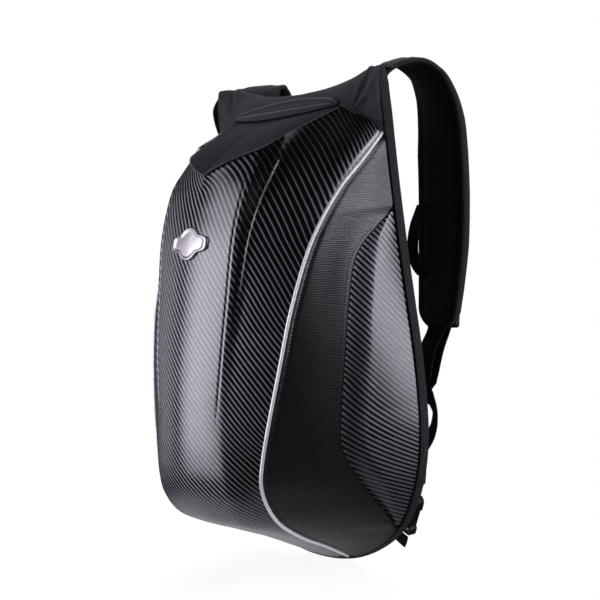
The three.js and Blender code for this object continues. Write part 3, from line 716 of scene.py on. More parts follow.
@made_once("node_groups", "Unevenness")
def wear_group():
    """Broad and fine unevenness of a finish, from nought to one."""
    tree, start = value_group("Unevenness", [("Place", "NodeSocketVector")], ["Broad", "Fine"])
    broad = add_node(tree, "ShaderNodeTexNoise", {"Vector": start["Place"], "Scale": 22.0, "Detail": 3.0})
    fine = add_node(tree, "ShaderNodeTexNoise", {"Vector": start["Place"], "Scale": 900.0, "Detail": 2.0})
    add_node(tree, "NodeGroupOutput", {"Broad": broad.outputs["Fac"], "Fine": fine.outputs["Fac"]})
    return tree


class Finish:
    """A material with its shader and the places that its patterns read."""

    def __init__(self, name, **constants):
        self.material = bpy.data.materials.new(name)
        self.material.use_nodes = True
        self.tree = self.material.node_tree
        self.shader = self.tree.nodes["Principled BSDF"]
        for key, value in constants.items():
            self.shader.inputs[key.replace("_", " ")].default_value = value
        where = add_node(self.tree, "ShaderNodeTexCoord").outputs
        self.surface = add_node(self.tree, "ShaderNodeUVMap", uv_map="UVMap").outputs["UV"]
        uneven = self.group(wear_group(), Place=where["Object"])
        self.broad, self.fine = uneven["Broad"], uneven["Fine"]

    def group(self, tree, **inputs):
        return add_node(self.tree, "ShaderNodeGroup", inputs, node_tree=tree).outputs

    def pattern(self, size):
        """The surface's place counted in repeats of a size in millimetres, the same both ways or not."""
        sizes = size if isinstance(size, tuple) else (size, size)
        scale = (1 / sizes[0], 1 / sizes[1], 1)
        return add_node(
            self.tree, "ShaderNodeVectorMath", {0: self.surface, 1: scale}, operation="MULTIPLY"
        ).outputs[0]

    def calc(self, operation, *values):
        return calc(self.tree, operation, *values)

    def between(self, low, high, factor):
        return add_node(
            self.tree, "ShaderNodeMapRange", {"Value": factor, "To Min": low, "To Max": high}
        ).outputs["Result"]

    def blend(self, first, second, factor):
        """A colour between two by a factor."""
        mix = add_node(
            self.tree, "ShaderNodeMix", {0: factor, 6: (*first, 1), 7: (*second, 1)}, data_type="RGBA"
        )
        return mix.outputs[2]

    def varied(self, base, low, high, factor):
        return self.blend([c * low for c in base], [c * high for c in base], factor)

    def feed(self, **links):
        for key, socket in links.items():
            self.tree.links.new(socket, self.shader.inputs[key.replace("_", " ")])

    def bump(self, height, distance, strength=1.0):
        node = add_node(
            self.tree, "ShaderNodeBump", {"Height": height, "Distance": distance, "Strength": strength}
        )
        self.feed(Normal=node.outputs["Normal"])


@made_once("materials", "carbon_film")
def carbon_finish():
    settings = bpy.context.scene.backpack_shell
    made = Finish("carbon_film", Coat_Roughness=0.14, Coat_IOR=1.5, Specular_IOR_Level=0.8)
    # Painted shading read from the mesh: above nought it paints shade with fewer light tows, below nought it paints
    # light with more of them
    painted_shading = add_node(made.tree, "ShaderNodeAttribute", attribute_name="painted_shading").outputs["Fac"]
    bright = made.calc("SUBTRACT", 4.0, painted_shading)
    twill = made.group(twill_group(), Tows=made.pattern(settings.tow / 3 / MM), Bright=bright)
    # Painted shade: above one the light tows dim, the coat thins and the film grows rougher
    painted_shade_dulling = made.calc("SUBTRACT", painted_shading, 1.0)
    clear = made.between(1.0, 0.24, painted_shade_dulling)
    warp = made.calc("MULTIPLY", twill["Warp"], made.calc("MULTIPLY", clear, made.between(0.82, 1.0, made.broad)))
    rough = made.calc("ADD", made.between(0.17, 0.56, twill["Warp"]), made.between(0.0, 0.04, painted_shade_dulling))
    made.feed(
        Base_Color=made.blend(settings.dark, settings.light, warp),
        Metallic=made.between(0.0, 0.9, twill["Warp"]),
        Roughness=made.calc("ADD", rough, made.between(-0.02, 0.02, made.broad)),
        Coat_Weight=made.between(0.5, 0.04, painted_shade_dulling),
    )
    made.bump(twill["Relief"], 0.00002, 0.5)
    return made.material


def cloth_finish(name, base, yarn, rough, gloss=0.18):
    """Woven cloth in one colour."""
    if name in bpy.data.materials:
        return bpy.data.materials[name]
    made = Finish(name, Sheen_Weight=0.04, Sheen_Roughness=0.5, Specular_IOR_Level=gloss)
    weave = made.group(weave_group(), Yarns=made.pattern(yarn))
    tone = made.calc("MULTIPLY", made.between(0.55, 1.15, weave["Relief"]), made.between(0.85, 1.15, made.broad))
    tone = made.calc("ADD", tone, made.between(-0.35, 0.35, made.fine))
    made.feed(
        Base_Color=made.varied(base, 0.35, 1.15, tone),
        Roughness=made.between(rough - 0.1, rough + 0.08, made.broad),
    )
    made.bump(weave["Relief"], 0.00025, 0.8)
    return made.material


@made_once("materials", "woven_sides")
def side_cloth():
    """Side cloth: wavy lines that run from front to back."""
    settings = bpy.context.scene.backpack_cloth
    made = Finish("woven_sides", Sheen_Weight=0.02, Sheen_Roughness=0.5, Specular_IOR_Level=0.85)
    lines = add_node(made.tree, "ShaderNodeTexWave", {
        "Vector": made.pattern((16.0, 8.0)), "Scale": 1.0, "Distortion": 3.4, "Detail": 2.0, "Detail Scale": 1.3,
    }, bands_direction="Y").outputs["Fac"]
    tone = made.calc("MULTIPLY", lines, made.between(0.7, 1.2, made.fine))
    made.feed(
        Base_Color=made.varied(settings.side, 0.6, 1.1, tone),
        Roughness=made.between(0.26, 0.36, made.broad),
    )
    made.bump(lines, 0.0002, 0.7)
    return made.material


def top_cloth():
    settings = bpy.context.scene.backpack_cloth
    return cloth_finish("woven_top", settings.top, settings.yarn / MM, rough=0.78)


def yoke_cloth():
    settings = bpy.context.scene.backpack_cloth
    return cloth_finish("yoke_cloth", settings.yoke, settings.yarn / MM, rough=0.8)


def edge_cloth():
    settings = bpy.context.scene.backpack_cloth
    return cloth_finish("edge_cloth", [5.0 * c for c in settings.top], 0.8, rough=0.5, gloss=0.5)


# Lighter cloth for the zip flap's beads; the lighter tone paints the highlight along the folded edges
def bead_cloth():
    settings = bpy.context.scene.backpack_cloth
    return cloth_finish("bead_cloth", [2.2 * c for c in settings.yoke], 0.8, rough=0.6, gloss=0.3)


@made_once("materials", "spacer_mesh")
def mesh_finish():
    """Spacer mesh: small round holes in a knitted face."""
    settings = bpy.context.scene.backpack_harness
    made = Finish("spacer_mesh", Sheen_Weight=0.05, Sheen_Roughness=0.6, Specular_IOR_Level=0.25)
    holes = add_node(
        made.tree, "ShaderNodeTexVoronoi", {"Vector": made.pattern(2.4), "Scale": 1.0, "Randomness": 0.12}
    ).outputs["Distance"]
    rim = made.between(0.0, 1.0, made.calc("SMOOTH_MIN", holes, 0.45, 0.2))
    rim = made.calc("MULTIPLY", rim, 2.2)
    made.feed(
        Base_Color=made.varied(settings.mesh, 0.25, 1.5, rim),
        Roughness=made.between(0.75, 0.95, made.broad),
    )
    made.bump(made.calc("ADD", rim, made.between(-0.1, 0.1, made.fine)), 0.0005, 0.8)
    return made.material


def webbing_finish(name="ribbed_webbing", ribs=(1.6, 2.2), bright=1.0):
    if name in bpy.data.materials:
        return bpy.data.materials[name]
    settings = bpy.context.scene.backpack_harness
    made = Finish(name, Sheen_Weight=0.04, Specular_IOR_Level=0.25)
    relief = made.group(rib_group(), Ribs=made.pattern(ribs))["Relief"]
    tone = made.calc("ADD", made.between(0.3, 1.0, relief), made.between(-0.15, 0.15, made.broad))
    made.feed(
        Base_Color=made.varied([bright * c for c in settings.webbing], 0.3, 1.6, tone),
        Roughness=made.between(0.6, 0.8, made.fine),
    )
    made.bump(relief, 0.0005, 0.9)
    return made.material


def tape_finish():
    return webbing_finish("ribbed_tape", (3.0, 3.2), 8.0)


@made_once("materials", "silver_piping")
def piping_finish():
    settings = bpy.context.scene.backpack_cloth
    # The emission is painted light: the piping glows brighter than the lamps alone light it
    made = Finish(
        "silver_piping", Specular_IOR_Level=0.6, Sheen_Weight=0.2,
        Emission_Color=(0.8, 0.79, 0.86, 1), Emission_Strength=0.24,
    )
    weave = made.group(weave_group(), Yarns=made.pattern(0.6))
    made.feed(
        Base_Color=made.varied(settings.piping, 0.75, 1.05, made.calc("ADD", weave["Relief"], made.broad)),
        Metallic=made.between(0.7, 0.8, made.broad),
        Roughness=made.between(0.32, 0.5, made.fine),
    )
    made.bump(weave["Relief"], 0.0001, 0.5)
    return made.material


def cord_finish():
    settings = bpy.context.scene.backpack_harness
    return cloth_finish("cord_cover", settings.webbing, 0.7, rough=0.7)


@made_once("materials", "sewing_thread")
def thread_finish():
    settings = bpy.context.scene.backpack_stitches
    made = Finish("sewing_thread", Sheen_Weight=0.2, Specular_IOR_Level=0.4)
    made.feed(
        Base_Color=made.varied(settings.thread, 0.6, 1.4, made.fine),
        Roughness=made.between(0.5, 0.75, made.broad),
    )
    return made.material


@made_once("materials", "moulded_plastic")
def plastic_finish():
    settings = bpy.context.scene.backpack_harness
    made = Finish("moulded_plastic", Specular_IOR_Level=0.5)
    made.feed(
        Base_Color=made.varied(settings.plastic, 0.7, 1.5, made.broad),
        Roughness=made.between(0.3, 0.46, made.fine),
    )
    made.bump(made.fine, 0.00006, 0.6)
    return made.material


@made_once("materials", "brushed_plate")
def badge_finish():
    made = Finish("brushed_plate", Specular_IOR_Level=0.5)
    brush = add_node(
        made.tree, "ShaderNodeTexNoise", {"Vector": made.pattern((9.0, 0.35)), "Scale": 1.0, "Detail": 3.0}
    ).outputs["Fac"]
    made.feed(
        Base_Color=made.blend((0.5, 0.49, 0.505), (0.78, 0.77, 0.78), brush),
        Metallic=made.between(0.9, 1.0, made.broad),
        Roughness=made.between(0.3, 0.46, brush),
    )
    made.bump(brush, 0.00004, 0.5)
    return made.material


# ---------------------------------------------------------------- shell and sides
RIBS = {name: Curve(place([row[k] for row in SHELL_STATIONS])) for k, name in enumerate(RIB_NAMES)}
LAST_STATION = len(SHELL_STATIONS) - 1
OUTLINE_CURVE = Curve(place([(x, -5, height) for x, height in OUTLINE]))


def hood_grid(along, part):
    crown, crease = RIBS["crown"].at(along)[:, None], RIBS["crease"].at(along)[:, None]
    bend = np.stack([part, part**HOOD_BEND, part], axis=1)
    return crown + (crease - crown) * bend


def wing_grid(along, part):
    foot, wing, edge = (RIBS[name].at(along)[:, None] for name in ("foot", "wing", "piping"))
    s = part[:, None]
    level = wing[..., 2:] - TO_FRAME[2]
    flat = 0.6 * within(level, 90, 140, 340, 400)
    wing = wing + ((foot + edge) / 2 - wing) * flat
    smooth = 2 * foot * (s - 0.5) * (s - 1) - 4 * wing * s * (s - 1) + 2 * edge * s * (s - 0.5)
    corner = np.where(s < 0.5, foot + (wing - foot) * 2 * s, wing + (edge - wing) * (2 * s - 1))
    cornered = ease(along * LAST_STATION, LAST_STATION - 1, LAST_STATION)
    return smooth + (corner - smooth) * cornered[:, None, None]


def shell_half(settings):
    """Right half of the shell from crown to piping, with the film's places and its painted shading."""
    along = np.linspace(0, 1, 12 * LAST_STATION + 1)
    hood = hood_grid(along, np.linspace(0, 1, HOOD_POINTS))
    wing = wing_grid(along, np.linspace(0, 1, WING_POINTS))
    step = hood[:, -1:] + (wing[:, :1] - hood[:, -1:]) * np.linspace(0, 1, STEP_POINTS + 2)[None, 1:-1, None]
    lines = np.concatenate([hood, step, wing], axis=1)
    wide = np.linspace(0, 1, 46)[1:]
    spread = 0.3 * wide + 0.35 * (1 - np.cos(np.pi * wide))
    rows, spots = [], []
    for line in lines:
        lengths = reached(line)
        crease, foot, end = lengths[HOOD_POINTS - 1], lengths[HOOD_POINTS + STEP_POINTS], lengths[-1] - 1.6
        narrow = min(1, crease / 40)
        where = np.concatenate([
            np.linspace(0, crease - 12 * narrow, 20),
            crease + np.array(BESIDE_EDGE) * narrow,
            crease + (foot - crease) * np.linspace(0, 1, 21)[1:],
            foot + (end - foot) * spread,
        ])
        rows.append(softened(line, where, settings.rounding / MM))
        spots.append([where, where - crease, end - where, where - foot])
    grid = np.array(rows)
    reach, past_edge, to_piping, past_foot = np.array(spots).transpose(1, 0, 2)
    height = grid[..., 2] - TO_FRAME[2]
    groove = hump(past_edge, GROOVE_AT, GROOVE_WIDTH) * within(height, 170, 200, 418, 432)
    lip = LIP_HIGH * hump(past_edge, LIP_AT, LIP_WIDTH) * within(height, 180, 230, 410, 430)
    inset = np.maximum(to_piping, 0) / BAND_WIDTH
    band = inset * np.exp(1 - inset) * (2.6 * ease(height, 320, 420) + 1.7 * ease(height, 400, 445))
    level = (RIBS["foot"].at(along)[:, 2] - TO_FRAME[2])[:, None]
    past = past_foot + 4 * (1 - ease(level, 385, 415)) - 9 * ease(level, 400, 445)
    fuller = 1.1 * ease(level, 370, 405)
    ridge = (RIDGE_HIGH + fuller) * hump(past, 0, RIDGE_WIDTH + fuller) * within(height, 250, 330, 422, 436)
    grid = grid + normals(grid) * (band + lip + ridge - settings.groove / MM * groove)[..., None]

    # Painted shading thins and dulls the tows. It paints shade on the wing, in the step beside the hood and under and
    # towards the flap, and it paints a highlight beside the piping's top
    wing = ease(past, -2, 0)
    step = 2 * ease(past_edge, 0.3, 2.5) * (1 - wing) * ease(height, 200, 300)
    # Painted shade under the flap's front edge
    painted_shade_under_flap = 2 * ease(height, 418, 432) * (1 - ease(np.abs(past_edge - 8), 10, 18))
    inside = ease(to_piping, 4, 20)
    to_top = run_along(grid[::-1])[::-1]
    # Painted shade: the tows grow darker towards the flap, apart from close to the piping
    painted_shade_to_flap = (1 + wing) * (1 - ease(to_top, 14 + 36 * wing, 42 + 90 * wing)) * ease(past_edge, 2, 14) * inside
    # Painted highlight: less painted shade on the wing close to the piping near the top
    bright = 1 - 0.6 * ease(height, 370, 400) * (1 - inside)
    painted_shading = np.maximum(np.maximum(wing * bright * ease(height, 150, 260) + step, painted_shade_under_flap), painted_shade_to_flap)
    crease_heights = RIBS["crease"].at(along)[:, 2] - TO_FRAME[2]
    draw = np.interp(crease_heights, *np.array(TWILL_DRAW).T)
    climbed = np.concatenate([[0], np.cumsum(np.diff(reached(RIBS["crease"].at(along))) * draw[1:])])
    places = np.stack([reach, np.broadcast_to(climbed[:, None], reach.shape)], axis=2)
    return grid, places, painted_shading


PIPING_STOPS = np.linspace(0, 1, 800)
PIPING_HEIGHTS = RIBS["piping"].at(PIPING_STOPS)[:, 2]
OUTLINE_SAMPLES = OUTLINE_CURVE.at(np.linspace(0, 1, 241))
EDGE_SAMPLES = Curve([(part * 100, 0, height) for height, part in INSERT_EDGE]).at(np.linspace(0, 1, 400))


def along_at(heights):
    """Stops of the piping at heights."""
    return np.interp(np.asarray(heights, float) + TO_FRAME[2], PIPING_HEIGHTS, PIPING_STOPS)


def insert_share(along):
    heights = RIBS["piping"].at(along)[:, 2] - TO_FRAME[2]
    return np.clip(np.interp(heights, EDGE_SAMPLES[:, 2], EDGE_SAMPLES[:, 0] / 100, left=1, right=1), 0, 1)


def side_grid(along, part, puff):
    """Points on a bag's side: part goes from piping to back panel, and puff stands out from the flat."""
    front = RIBS["piping"].at(along)
    rear_x = np.interp(front[:, 2], OUTLINE_SAMPLES[:, 2], OUTLINE_SAMPLES[:, 0]) - 1
    rear = np.stack([rear_x, np.full_like(rear_x, SIDE_REAR_Y), front[:, 2]], axis=1)
    span = rear - front
    out = unit(np.stack([span[:, 1], -span[:, 0], np.zeros(len(span))], axis=1))
    full = np.minimum(1, np.linalg.norm(span, axis=1) / 100)[:, None]
    return front[:, None] + span[:, None] * part[..., None] + out[:, None] * (puff * full)[..., None]


def side_span(along):
    ends = side_grid(along, np.tile([0.0, 1.0], (len(along), 1)), np.zeros((len(along), 2)))
    return np.linalg.norm(ends[:, 1] - ends[:, 0], axis=1)


def beside_edge(along, seat):
    """Level distance that keeps a seat clear of the insert's slanting front edge, as a share of the span."""
    span = side_span(along)
    heights = RIBS["piping"].at(along)[:, 2]
    slope = np.gradient(insert_share(along) * span, heights)
    return seat * np.minimum(np.hypot(1, slope), 2.2) / span


def cloth_side(settings):
    """Right side cloth, from the piping to the insert's cord or the back panel."""
    along = np.concatenate([along_at(np.linspace(8, 452, 150)), [1.0]])
    edge = insert_share(along)
    columns = np.linspace(0, 1, 33)
    part = 0.6 * columns + 0.2 * (1 - np.cos(np.pi * columns))
    start = 1.4 / side_span(along)
    end = np.where(edge < 0.999, edge - beside_edge(along, 0.7), 1)
    across = start[:, None] + (end - start)[:, None] * part
    loose = ease(edge, 0.9, 1)[:, None]
    puff = settings.puff / MM * np.sin(np.pi / 2 * part) * (1 - part * loose)
    far = reached(RIBS["piping"].at(along))[:, None]
    near = (across - start[:, None]) * side_span(along)[:, None]
    pucker = np.exp(-near / 7) * np.sin(2 * np.pi * far / 11.5 + 1.3 * np.sin(far / 37)) * 0.28
    tuck = -0.9 * hump(near, 5.5, 1.6)
    slack = 0.7 * np.sin(far / 41 + near / 29) * np.sin(np.pi * part) ** 2
    return side_grid(along, across, puff + pucker + tuck + slack)


def insert_side():
    """Right insert with a steep front edge and a crowned face, with the film's places and its painted shading, which
    paints light on the front strip and the lower part.
    """
    heights = np.concatenate([np.linspace(50.5, 150, 50), np.linspace(152, 372, 90)])
    along = along_at(heights)
    edge = insert_share(along)
    columns = np.linspace(0, 1, 45)
    part = 0.75 * columns + 0.25 * columns**2
    start = edge + beside_edge(along, 0.7)
    across = start[:, None] + (1 - start)[:, None] * part
    room = ((1 - start) * side_span(along))[:, None]
    near = part * room
    rise = ease(near, 0, np.minimum(27, 0.45 * room + 2))
    puff = -1.2 + 7.2 * rise * np.minimum(1, room / 70 + 0.15) * (1 - 0.92 * part**2.4)
    grid = side_grid(along, across, puff)
    bend = np.interp(heights, (110, 210), (0.6, 1.0))[:, None]
    draw = np.interp(heights, (110, 170, 250, 350), (1.7, 1.35, 0.95, 0.85))
    climbed = np.concatenate([[0], np.cumsum(np.diff(heights) * draw[1:])])[:, None]
    run = run_across(grid)
    # Painted light: the front strip and the lower part get more light tows, so they read lighter
    front = np.maximum(1 - ease(near, 22, 34), 1 - ease(heights, 120, 175)[:, None])
    return grid, np.stack([(run - run[:, -1:]) * bend, np.broadcast_to(climbed, run.shape)], axis=2), -2 * front


def cord_curve():
    along = along_at(np.concatenate([np.linspace(48, 150, 40), np.linspace(154, 376, 60)]))
    return Curve(side_grid(along, insert_share(along)[:, None], np.full((len(along), 1), 3.2))[:, 0])


class BACKPACK_OT_shell(bpy.types.Operator):
    """Makes the moulded shell with its hood, wings and underside"""

    bl_idname = "backpack.shell"
    bl_label = "Shell"

    def execute(self, context):
        settings = context.scene.backpack_shell
        grid, places, painted_shading = shell_half(settings)
        left = mirrored(grid)[:, :-1]
        left_places = (places[:, ::-1] * (-1, 1))[:, :-1]
        painted_shading = np.concatenate([painted_shading[:, :0:-1], painted_shading], axis=1)
        plan = MeshPlan()
        plan.wall(
            np.concatenate([left, grid], axis=1),
            np.concatenate([left_places, places], axis=1),
            settings.wall / MM,
        )
        mesh = plan.mesh("shell_moulding", [carbon_finish()], 60, painted_shading)
        fit(show("shell_moulding", mesh), "carbon_shell", "shell")
        return {"FINISHED"}


class BACKPACK_OT_inserts(bpy.types.Operator):
    """Makes the moulded inserts in the sides"""

    bl_idname = "backpack.inserts"
    bl_label = "Side inserts"

    def execute(self, context):
        grid, places, painted_shading = insert_side()
        plan = MeshPlan()
        plan.wall(grid, places, INSERT_WALL)
        show_pair("side_insert", plan.mesh("side_insert", [carbon_finish()], 60, painted_shading), "carbon_shell")
        return {"FINISHED"}


class BACKPACK_OT_side_cloth(bpy.types.Operator):
    """Makes the woven sides and their seams"""

    bl_idname = "backpack.side_cloth"
    bl_label = "Side cloth"

    def execute(self, context):
        settings = context.scene.backpack_cloth
        grid = cloth_side(settings)
        places = grid_places(grid)
        plan = MeshPlan()
        plan.wall(grid, places, settings.wall / MM, roll=0.5)
        mesh = plan.mesh("side_cloth", [side_cloth()])
        above = grid + normals(grid) * 0.25
        run = run_across(above)
        lines = []
        for distance, rows in ((5.5, slice(2, -2)), (-4.5, slice(16, 118))):
            goal = np.full(len(run), distance) if distance > 0 else run[:, -1] + distance
            line = np.array([
                [np.interp(g, r, points[:, k]) for k in range(3)] for g, r, points in zip(goal, run, above)
            ])
            lines.append(line[rows])
        flat = (float(reached(grid[75]).max()) * MM * 1.5, float(reached(grid[:, 0]).max()) * MM)
        for side, made in (("right", mesh), ("left", copied_to_left(mesh, "side_cloth_left"))):
            piece = fit(show(f"side_cloth_{side}", made), "side_cloth", f"side_panel_{side}")
            grid_area(grid)
        stitched("side_seam_stitches", both_sides(lines), "side_cloth")
        return {"FINISHED"}


class BACKPACK_OT_piping(bpy.types.Operator):
    """Makes the reflective piping and the cords round the inserts"""

    bl_idname = "backpack.piping"
    bl_label = "Piping and cords"

    def execute(self, context):
        section = round_section(PIPING_RADIUS, 12)
        bead = swept_mesh("piping", RIBS["piping"], 260, (0, 1, 0), section, piping_finish())
        show_pair("piping", bead, "reflective_piping")
        section = round_section(CORD_RADIUS, 8)
        cord = swept_mesh("insert_cord", cord_curve(), 220, (0, 1, 0), section, cord_finish())
        show_pair("insert_cord", cord, "cord")
        return {"FINISHED"}


# ---------------------------------------------------------------- cloth top
def flap_front(position):
    """The flap's front edge along the shell's top edge, from side to side."""
    part = np.abs(position)
    hood = hood_grid(np.ones(1), np.minimum(part / 0.46, 1))[0]
    crease, wing = RIBS["crease"].at(1)[0], RIBS["wing"].at(1)[0]
    outer = crease + (wing - crease) * ((part - 0.46) / 0.54)[:, None]
    points = np.where((part < 0.46)[:, None], hood, outer)
    points[:, 0] *= np.sign(position)
    return points


def lip(position, end, rise):
    """An edge across the top that bows between its two ends: y and height, and how far the middle moves."""
    middle = 1 - position**2
    return place(np.stack([86 * position, end[0] + rise[0] * middle, end[1] + rise[1] * middle], axis=1))


def top_flap_grid():
    position = np.linspace(-0.985, 0.985, 97)
    part = np.linspace(0, 1, 27)
    front, rear = flap_front(position), lip(position, (-36, 483), (-14, -6.5))
    start = -1.4 / np.maximum(np.linalg.norm(rear - front, axis=1), 6)
    reach = start + (1.02 - start) * part[:, None]
    bulge = (5 * np.sin(np.pi * part)[:, None] + 1.2 * (1 - part[:, None])) * (1 - position**2) + 0.9
    lift = bulge[..., None] * (0, -0.5, 0.85)
    return front + (rear - front) * reach[..., None] + lift


def zip_flap_grid():
    position = np.linspace(-0.985, 0.985, 97)
    part = np.linspace(-0.05, 1.05, 45)
    lower = lip(position, (-35.5, 485.7), (-15.5, -5.2))
    upper = lip(position, (-32, 489), (9.4, 7))
    ridges = 3.0 * hump(part, 0.1, 0.085) + 3.2 * hump(part, 0.9, 0.085)
    valley = 0.8 * np.sin(np.pi * np.clip(part, 0, 1)) - 2.2 * hump(part, 0.52, 0.03)
    lift = (ridges + valley)[:, None] * np.sqrt(np.maximum(1 - position**2, 0)) + 0.6
    return lower + (upper - lower) * part[:, None, None] + lift[..., None] * (0, -0.35, 0.94)


def yoke_grid():
    position = np.linspace(-1, 1, 121)
    front, top, lining = (
        Curve(place([section[k] for section in YOKE_SECTIONS])).at(np.abs(position)) for k in range(3)
    )
    columns = []
    for a, b, c in zip(front, top, lining):
        part = np.linspace(-0.14, 1, 40)[:, None]
        swell = 3 * np.sin(np.pi * np.clip(part, 0, 1))
        rise = a + (b - a) * part + swell * (0, -1, 1)
        tuck = b + (c - b) * np.linspace(0, 1, 16)[1:, None]
        line = np.concatenate([rise, tuck])
        columns.append(softened(line, np.linspace(0, reached(line)[-1], 52), 3.2))
    grid = np.array(columns).transpose(1, 0, 2)
    up = np.linspace(-0.1, 1.25, 52)[:, None]
    across = np.abs(position)[None, :]
    press = np.zeros(grid.shape[:2])
    size = np.array([140.0, 55.0])
    for (x0, y0), (x1, y1), depth, width in YOKE_FOLDS:
        start, run = np.array([x0, y0]) * size, np.array([x1 - x0, y1 - y0]) * size
        dx, dy = across * size[0] - start[0], up * size[1] - start[1]
        t = np.clip((dx * run[0] + dy * run[1]) / (run @ run), 0, 1)
        gap = np.hypot(dx - t * run[0], dy - t * run[1])
        press += depth * hump(gap, 0, width)
    press += 0.5 * np.sin(across * 37 + up * 3) * ease(across, 0.5, 0.7) * np.sin(np.pi * np.clip(up, 0, 1))
    grid[..., 0] *= np.sign(position)
    grid[..., 2] += 4 * ease(-position, 0.72, 0.95) * ease(up, 0.2, 1)
    return grid + normals(grid) * press[..., None]


class BACKPACK_OT_top(bpy.types.Operator):
    """Makes the cloth top: V-shaped flap, zip flap and yoke"""

    bl_idname = "backpack.top"
    bl_label = "Cloth top"

    def execute(self, context):
        wall = context.scene.backpack_cloth.wall / MM
        for node, grid, material, thick, rests in (
            ("top_flap", top_flap_grid(), top_cloth(), wall, "shell_moulding"),
            ("zip_flap", zip_flap_grid(), yoke_cloth(), wall, "top_flap_cloth"),
            ("yoke", yoke_grid(), yoke_cloth(), 1.5 * wall, "back_panel"),
        ):
            plan = MeshPlan()
            plan.wall(grid, grid_places(grid), thick, roll=0.6)
            piece = fit(show(f"{node}_cloth", plan.mesh(node, [material], 50)), "top_cloth", node)
            flat = (
                max(reached(row)[-1] for row in grid) * MM,
                max(reached(column)[-1] for column in grid.transpose(1, 0, 2)) * MM,
            )
            grid_area(grid)
        zip_rows, yoke_rows = zip_flap_grid(), yoke_grid()
        for name, edge, radius, material in (
            ("flap_edge_bead", top_flap_grid()[0], 0.75, edge_cloth()),
            # The zip flap's beads take the lighter bead cloth, a painted highlight on the folded edges
            ("zip_flap_lower_bead", zip_rows[6, 4:-4], 0.9, bead_cloth()),
            ("zip_flap_upper_bead", zip_rows[38, 4:-4], 0.9, bead_cloth()),
            ("gusset_bead_right", yoke_rows[4, 98:], 1.1, tape_finish()),
            ("gusset_bead_left", yoke_rows[4, :23], 1.1, tape_finish()),
        ):
            bead = swept_mesh(name, Curve(edge[::2]), 160, (0, 1, 0), round_section(radius, 8), material)
            fit(show(name, bead), "top_cloth")
        return {"FINISHED"}


# ---------------------------------------------------------------- back and harness
def pad_plan():
    """The back pad as rings from its edge to its middle."""
    steps = np.linspace(0, 1, 90)
    edge, tangent = OUTLINE_CURVE.along(steps), OUTLINE_CURVE.tangent(steps)
    inset = edge[:, [0, 2]] + 0.6 * np.stack([-tangent[:, 2], tangent[:, 0]], axis=1)
    inset[[0, -1], 0] = 0
    loop = np.concatenate([inset, inset[-2:0:-1] * (-1, 1)])
    rings = np.array(PAD_RINGS)
    flat = loop * rings[:, None, None]
    roll = 1.6 * np.sin(np.pi * np.clip((1 - rings) / 0.105, 0, 1))
    crown = 3.2 * ease(1 - rings, 0.11, 0.45)
    rear = roll - 1.8 * hump(rings, PAD_SEAM, 0.012) + crown - 1.2 * ease(rings, 0.975, 1)
    plan = MeshPlan()
    numbers = []
    for depth, order in ((rear, slice(None)), (np.full(len(rings), PAD_FRONT_Y), slice(None, None, -1))):
        y = np.broadcast_to(depth[:, None], flat.shape[:2])
        grid = np.stack([flat[..., 0], y, flat[..., 1]], axis=2)[order]
        numbers.append(plan.grid(grid, ringed(grid[..., [0, 2]]), closed=True))
    for ring in (numbers[0][-1], numbers[1][0]):
        rim = np.concatenate(plan.points)[ring][:, [0, 2]]
        plan.fan(ring, np.stack([rim, np.roll(rim, -1, axis=0), np.broadcast_to(rim.mean(axis=0), rim.shape)], axis=1))
    front, back = numbers[1][-1], numbers[0][0]
    spots = np.concatenate(plan.points)[back][:, [0, 2]]
    plan.add_faces(
        np.stack([back, np.roll(back, -1), np.roll(front, -1), front], axis=1),
        np.stack([spots, np.roll(spots, -1, axis=0)] * 2, axis=1)[:, [0, 1, 3, 2]],
    )
    return plan


def filled(piece, held, pressure, most):
    """Swells a padded piece by a cloth simulation, with some of its points held."""
    scene = bpy.context.scene
    group = piece.vertex_groups.new(name="sewn")
    group.add(held, 1.0, "REPLACE")
    cloth = piece.modifiers.new("Fill", "CLOTH")
    cloth.settings.vertex_group_mass = "sewn"
    cloth.settings.use_pressure = True
    cloth.settings.uniform_pressure_force = pressure
    cloth.settings.effector_weights.gravity = 0
    cloth.settings.tension_stiffness = 8
    cloth.settings.compression_stiffness = 8
    cloth.settings.bending_stiffness = 1.5
    cloth.settings.quality = 5
    cloth.point_cache.frame_start, cloth.point_cache.frame_end = 1, 20
    before = np.empty(3 * len(piece.data.vertices))
    piece.data.vertices.foreach_get("co", before)
    for number in range(1, 21):
        scene.frame_set(number)
    result = piece.evaluated_get(bpy.context.evaluated_depsgraph_get()).to_mesh()
    after = np.empty_like(before)
    result.vertices.foreach_get("co", after)
    piece.modifiers.remove(cloth)
    piece.vertex_groups.remove(group)
    scene.frame_set(1)
    move = (after - before).reshape(-1, 3)
    far = np.linalg.norm(move, axis=1, keepdims=True)
    move *= np.minimum(1, most / np.maximum(far, 1e-9))
    piece.data.vertices.foreach_set("co", before + move.ravel())
    piece.data.update()


def tape_curve():
    side = [(x, -10.75, height) for x, height in OUTLINE[:-6]]
    right = [*side, *TAPE_TOP]
    left = [(-x, y, height) for x, y, height in right[:0:-1]]
    return Curve(place([*left, *right]))


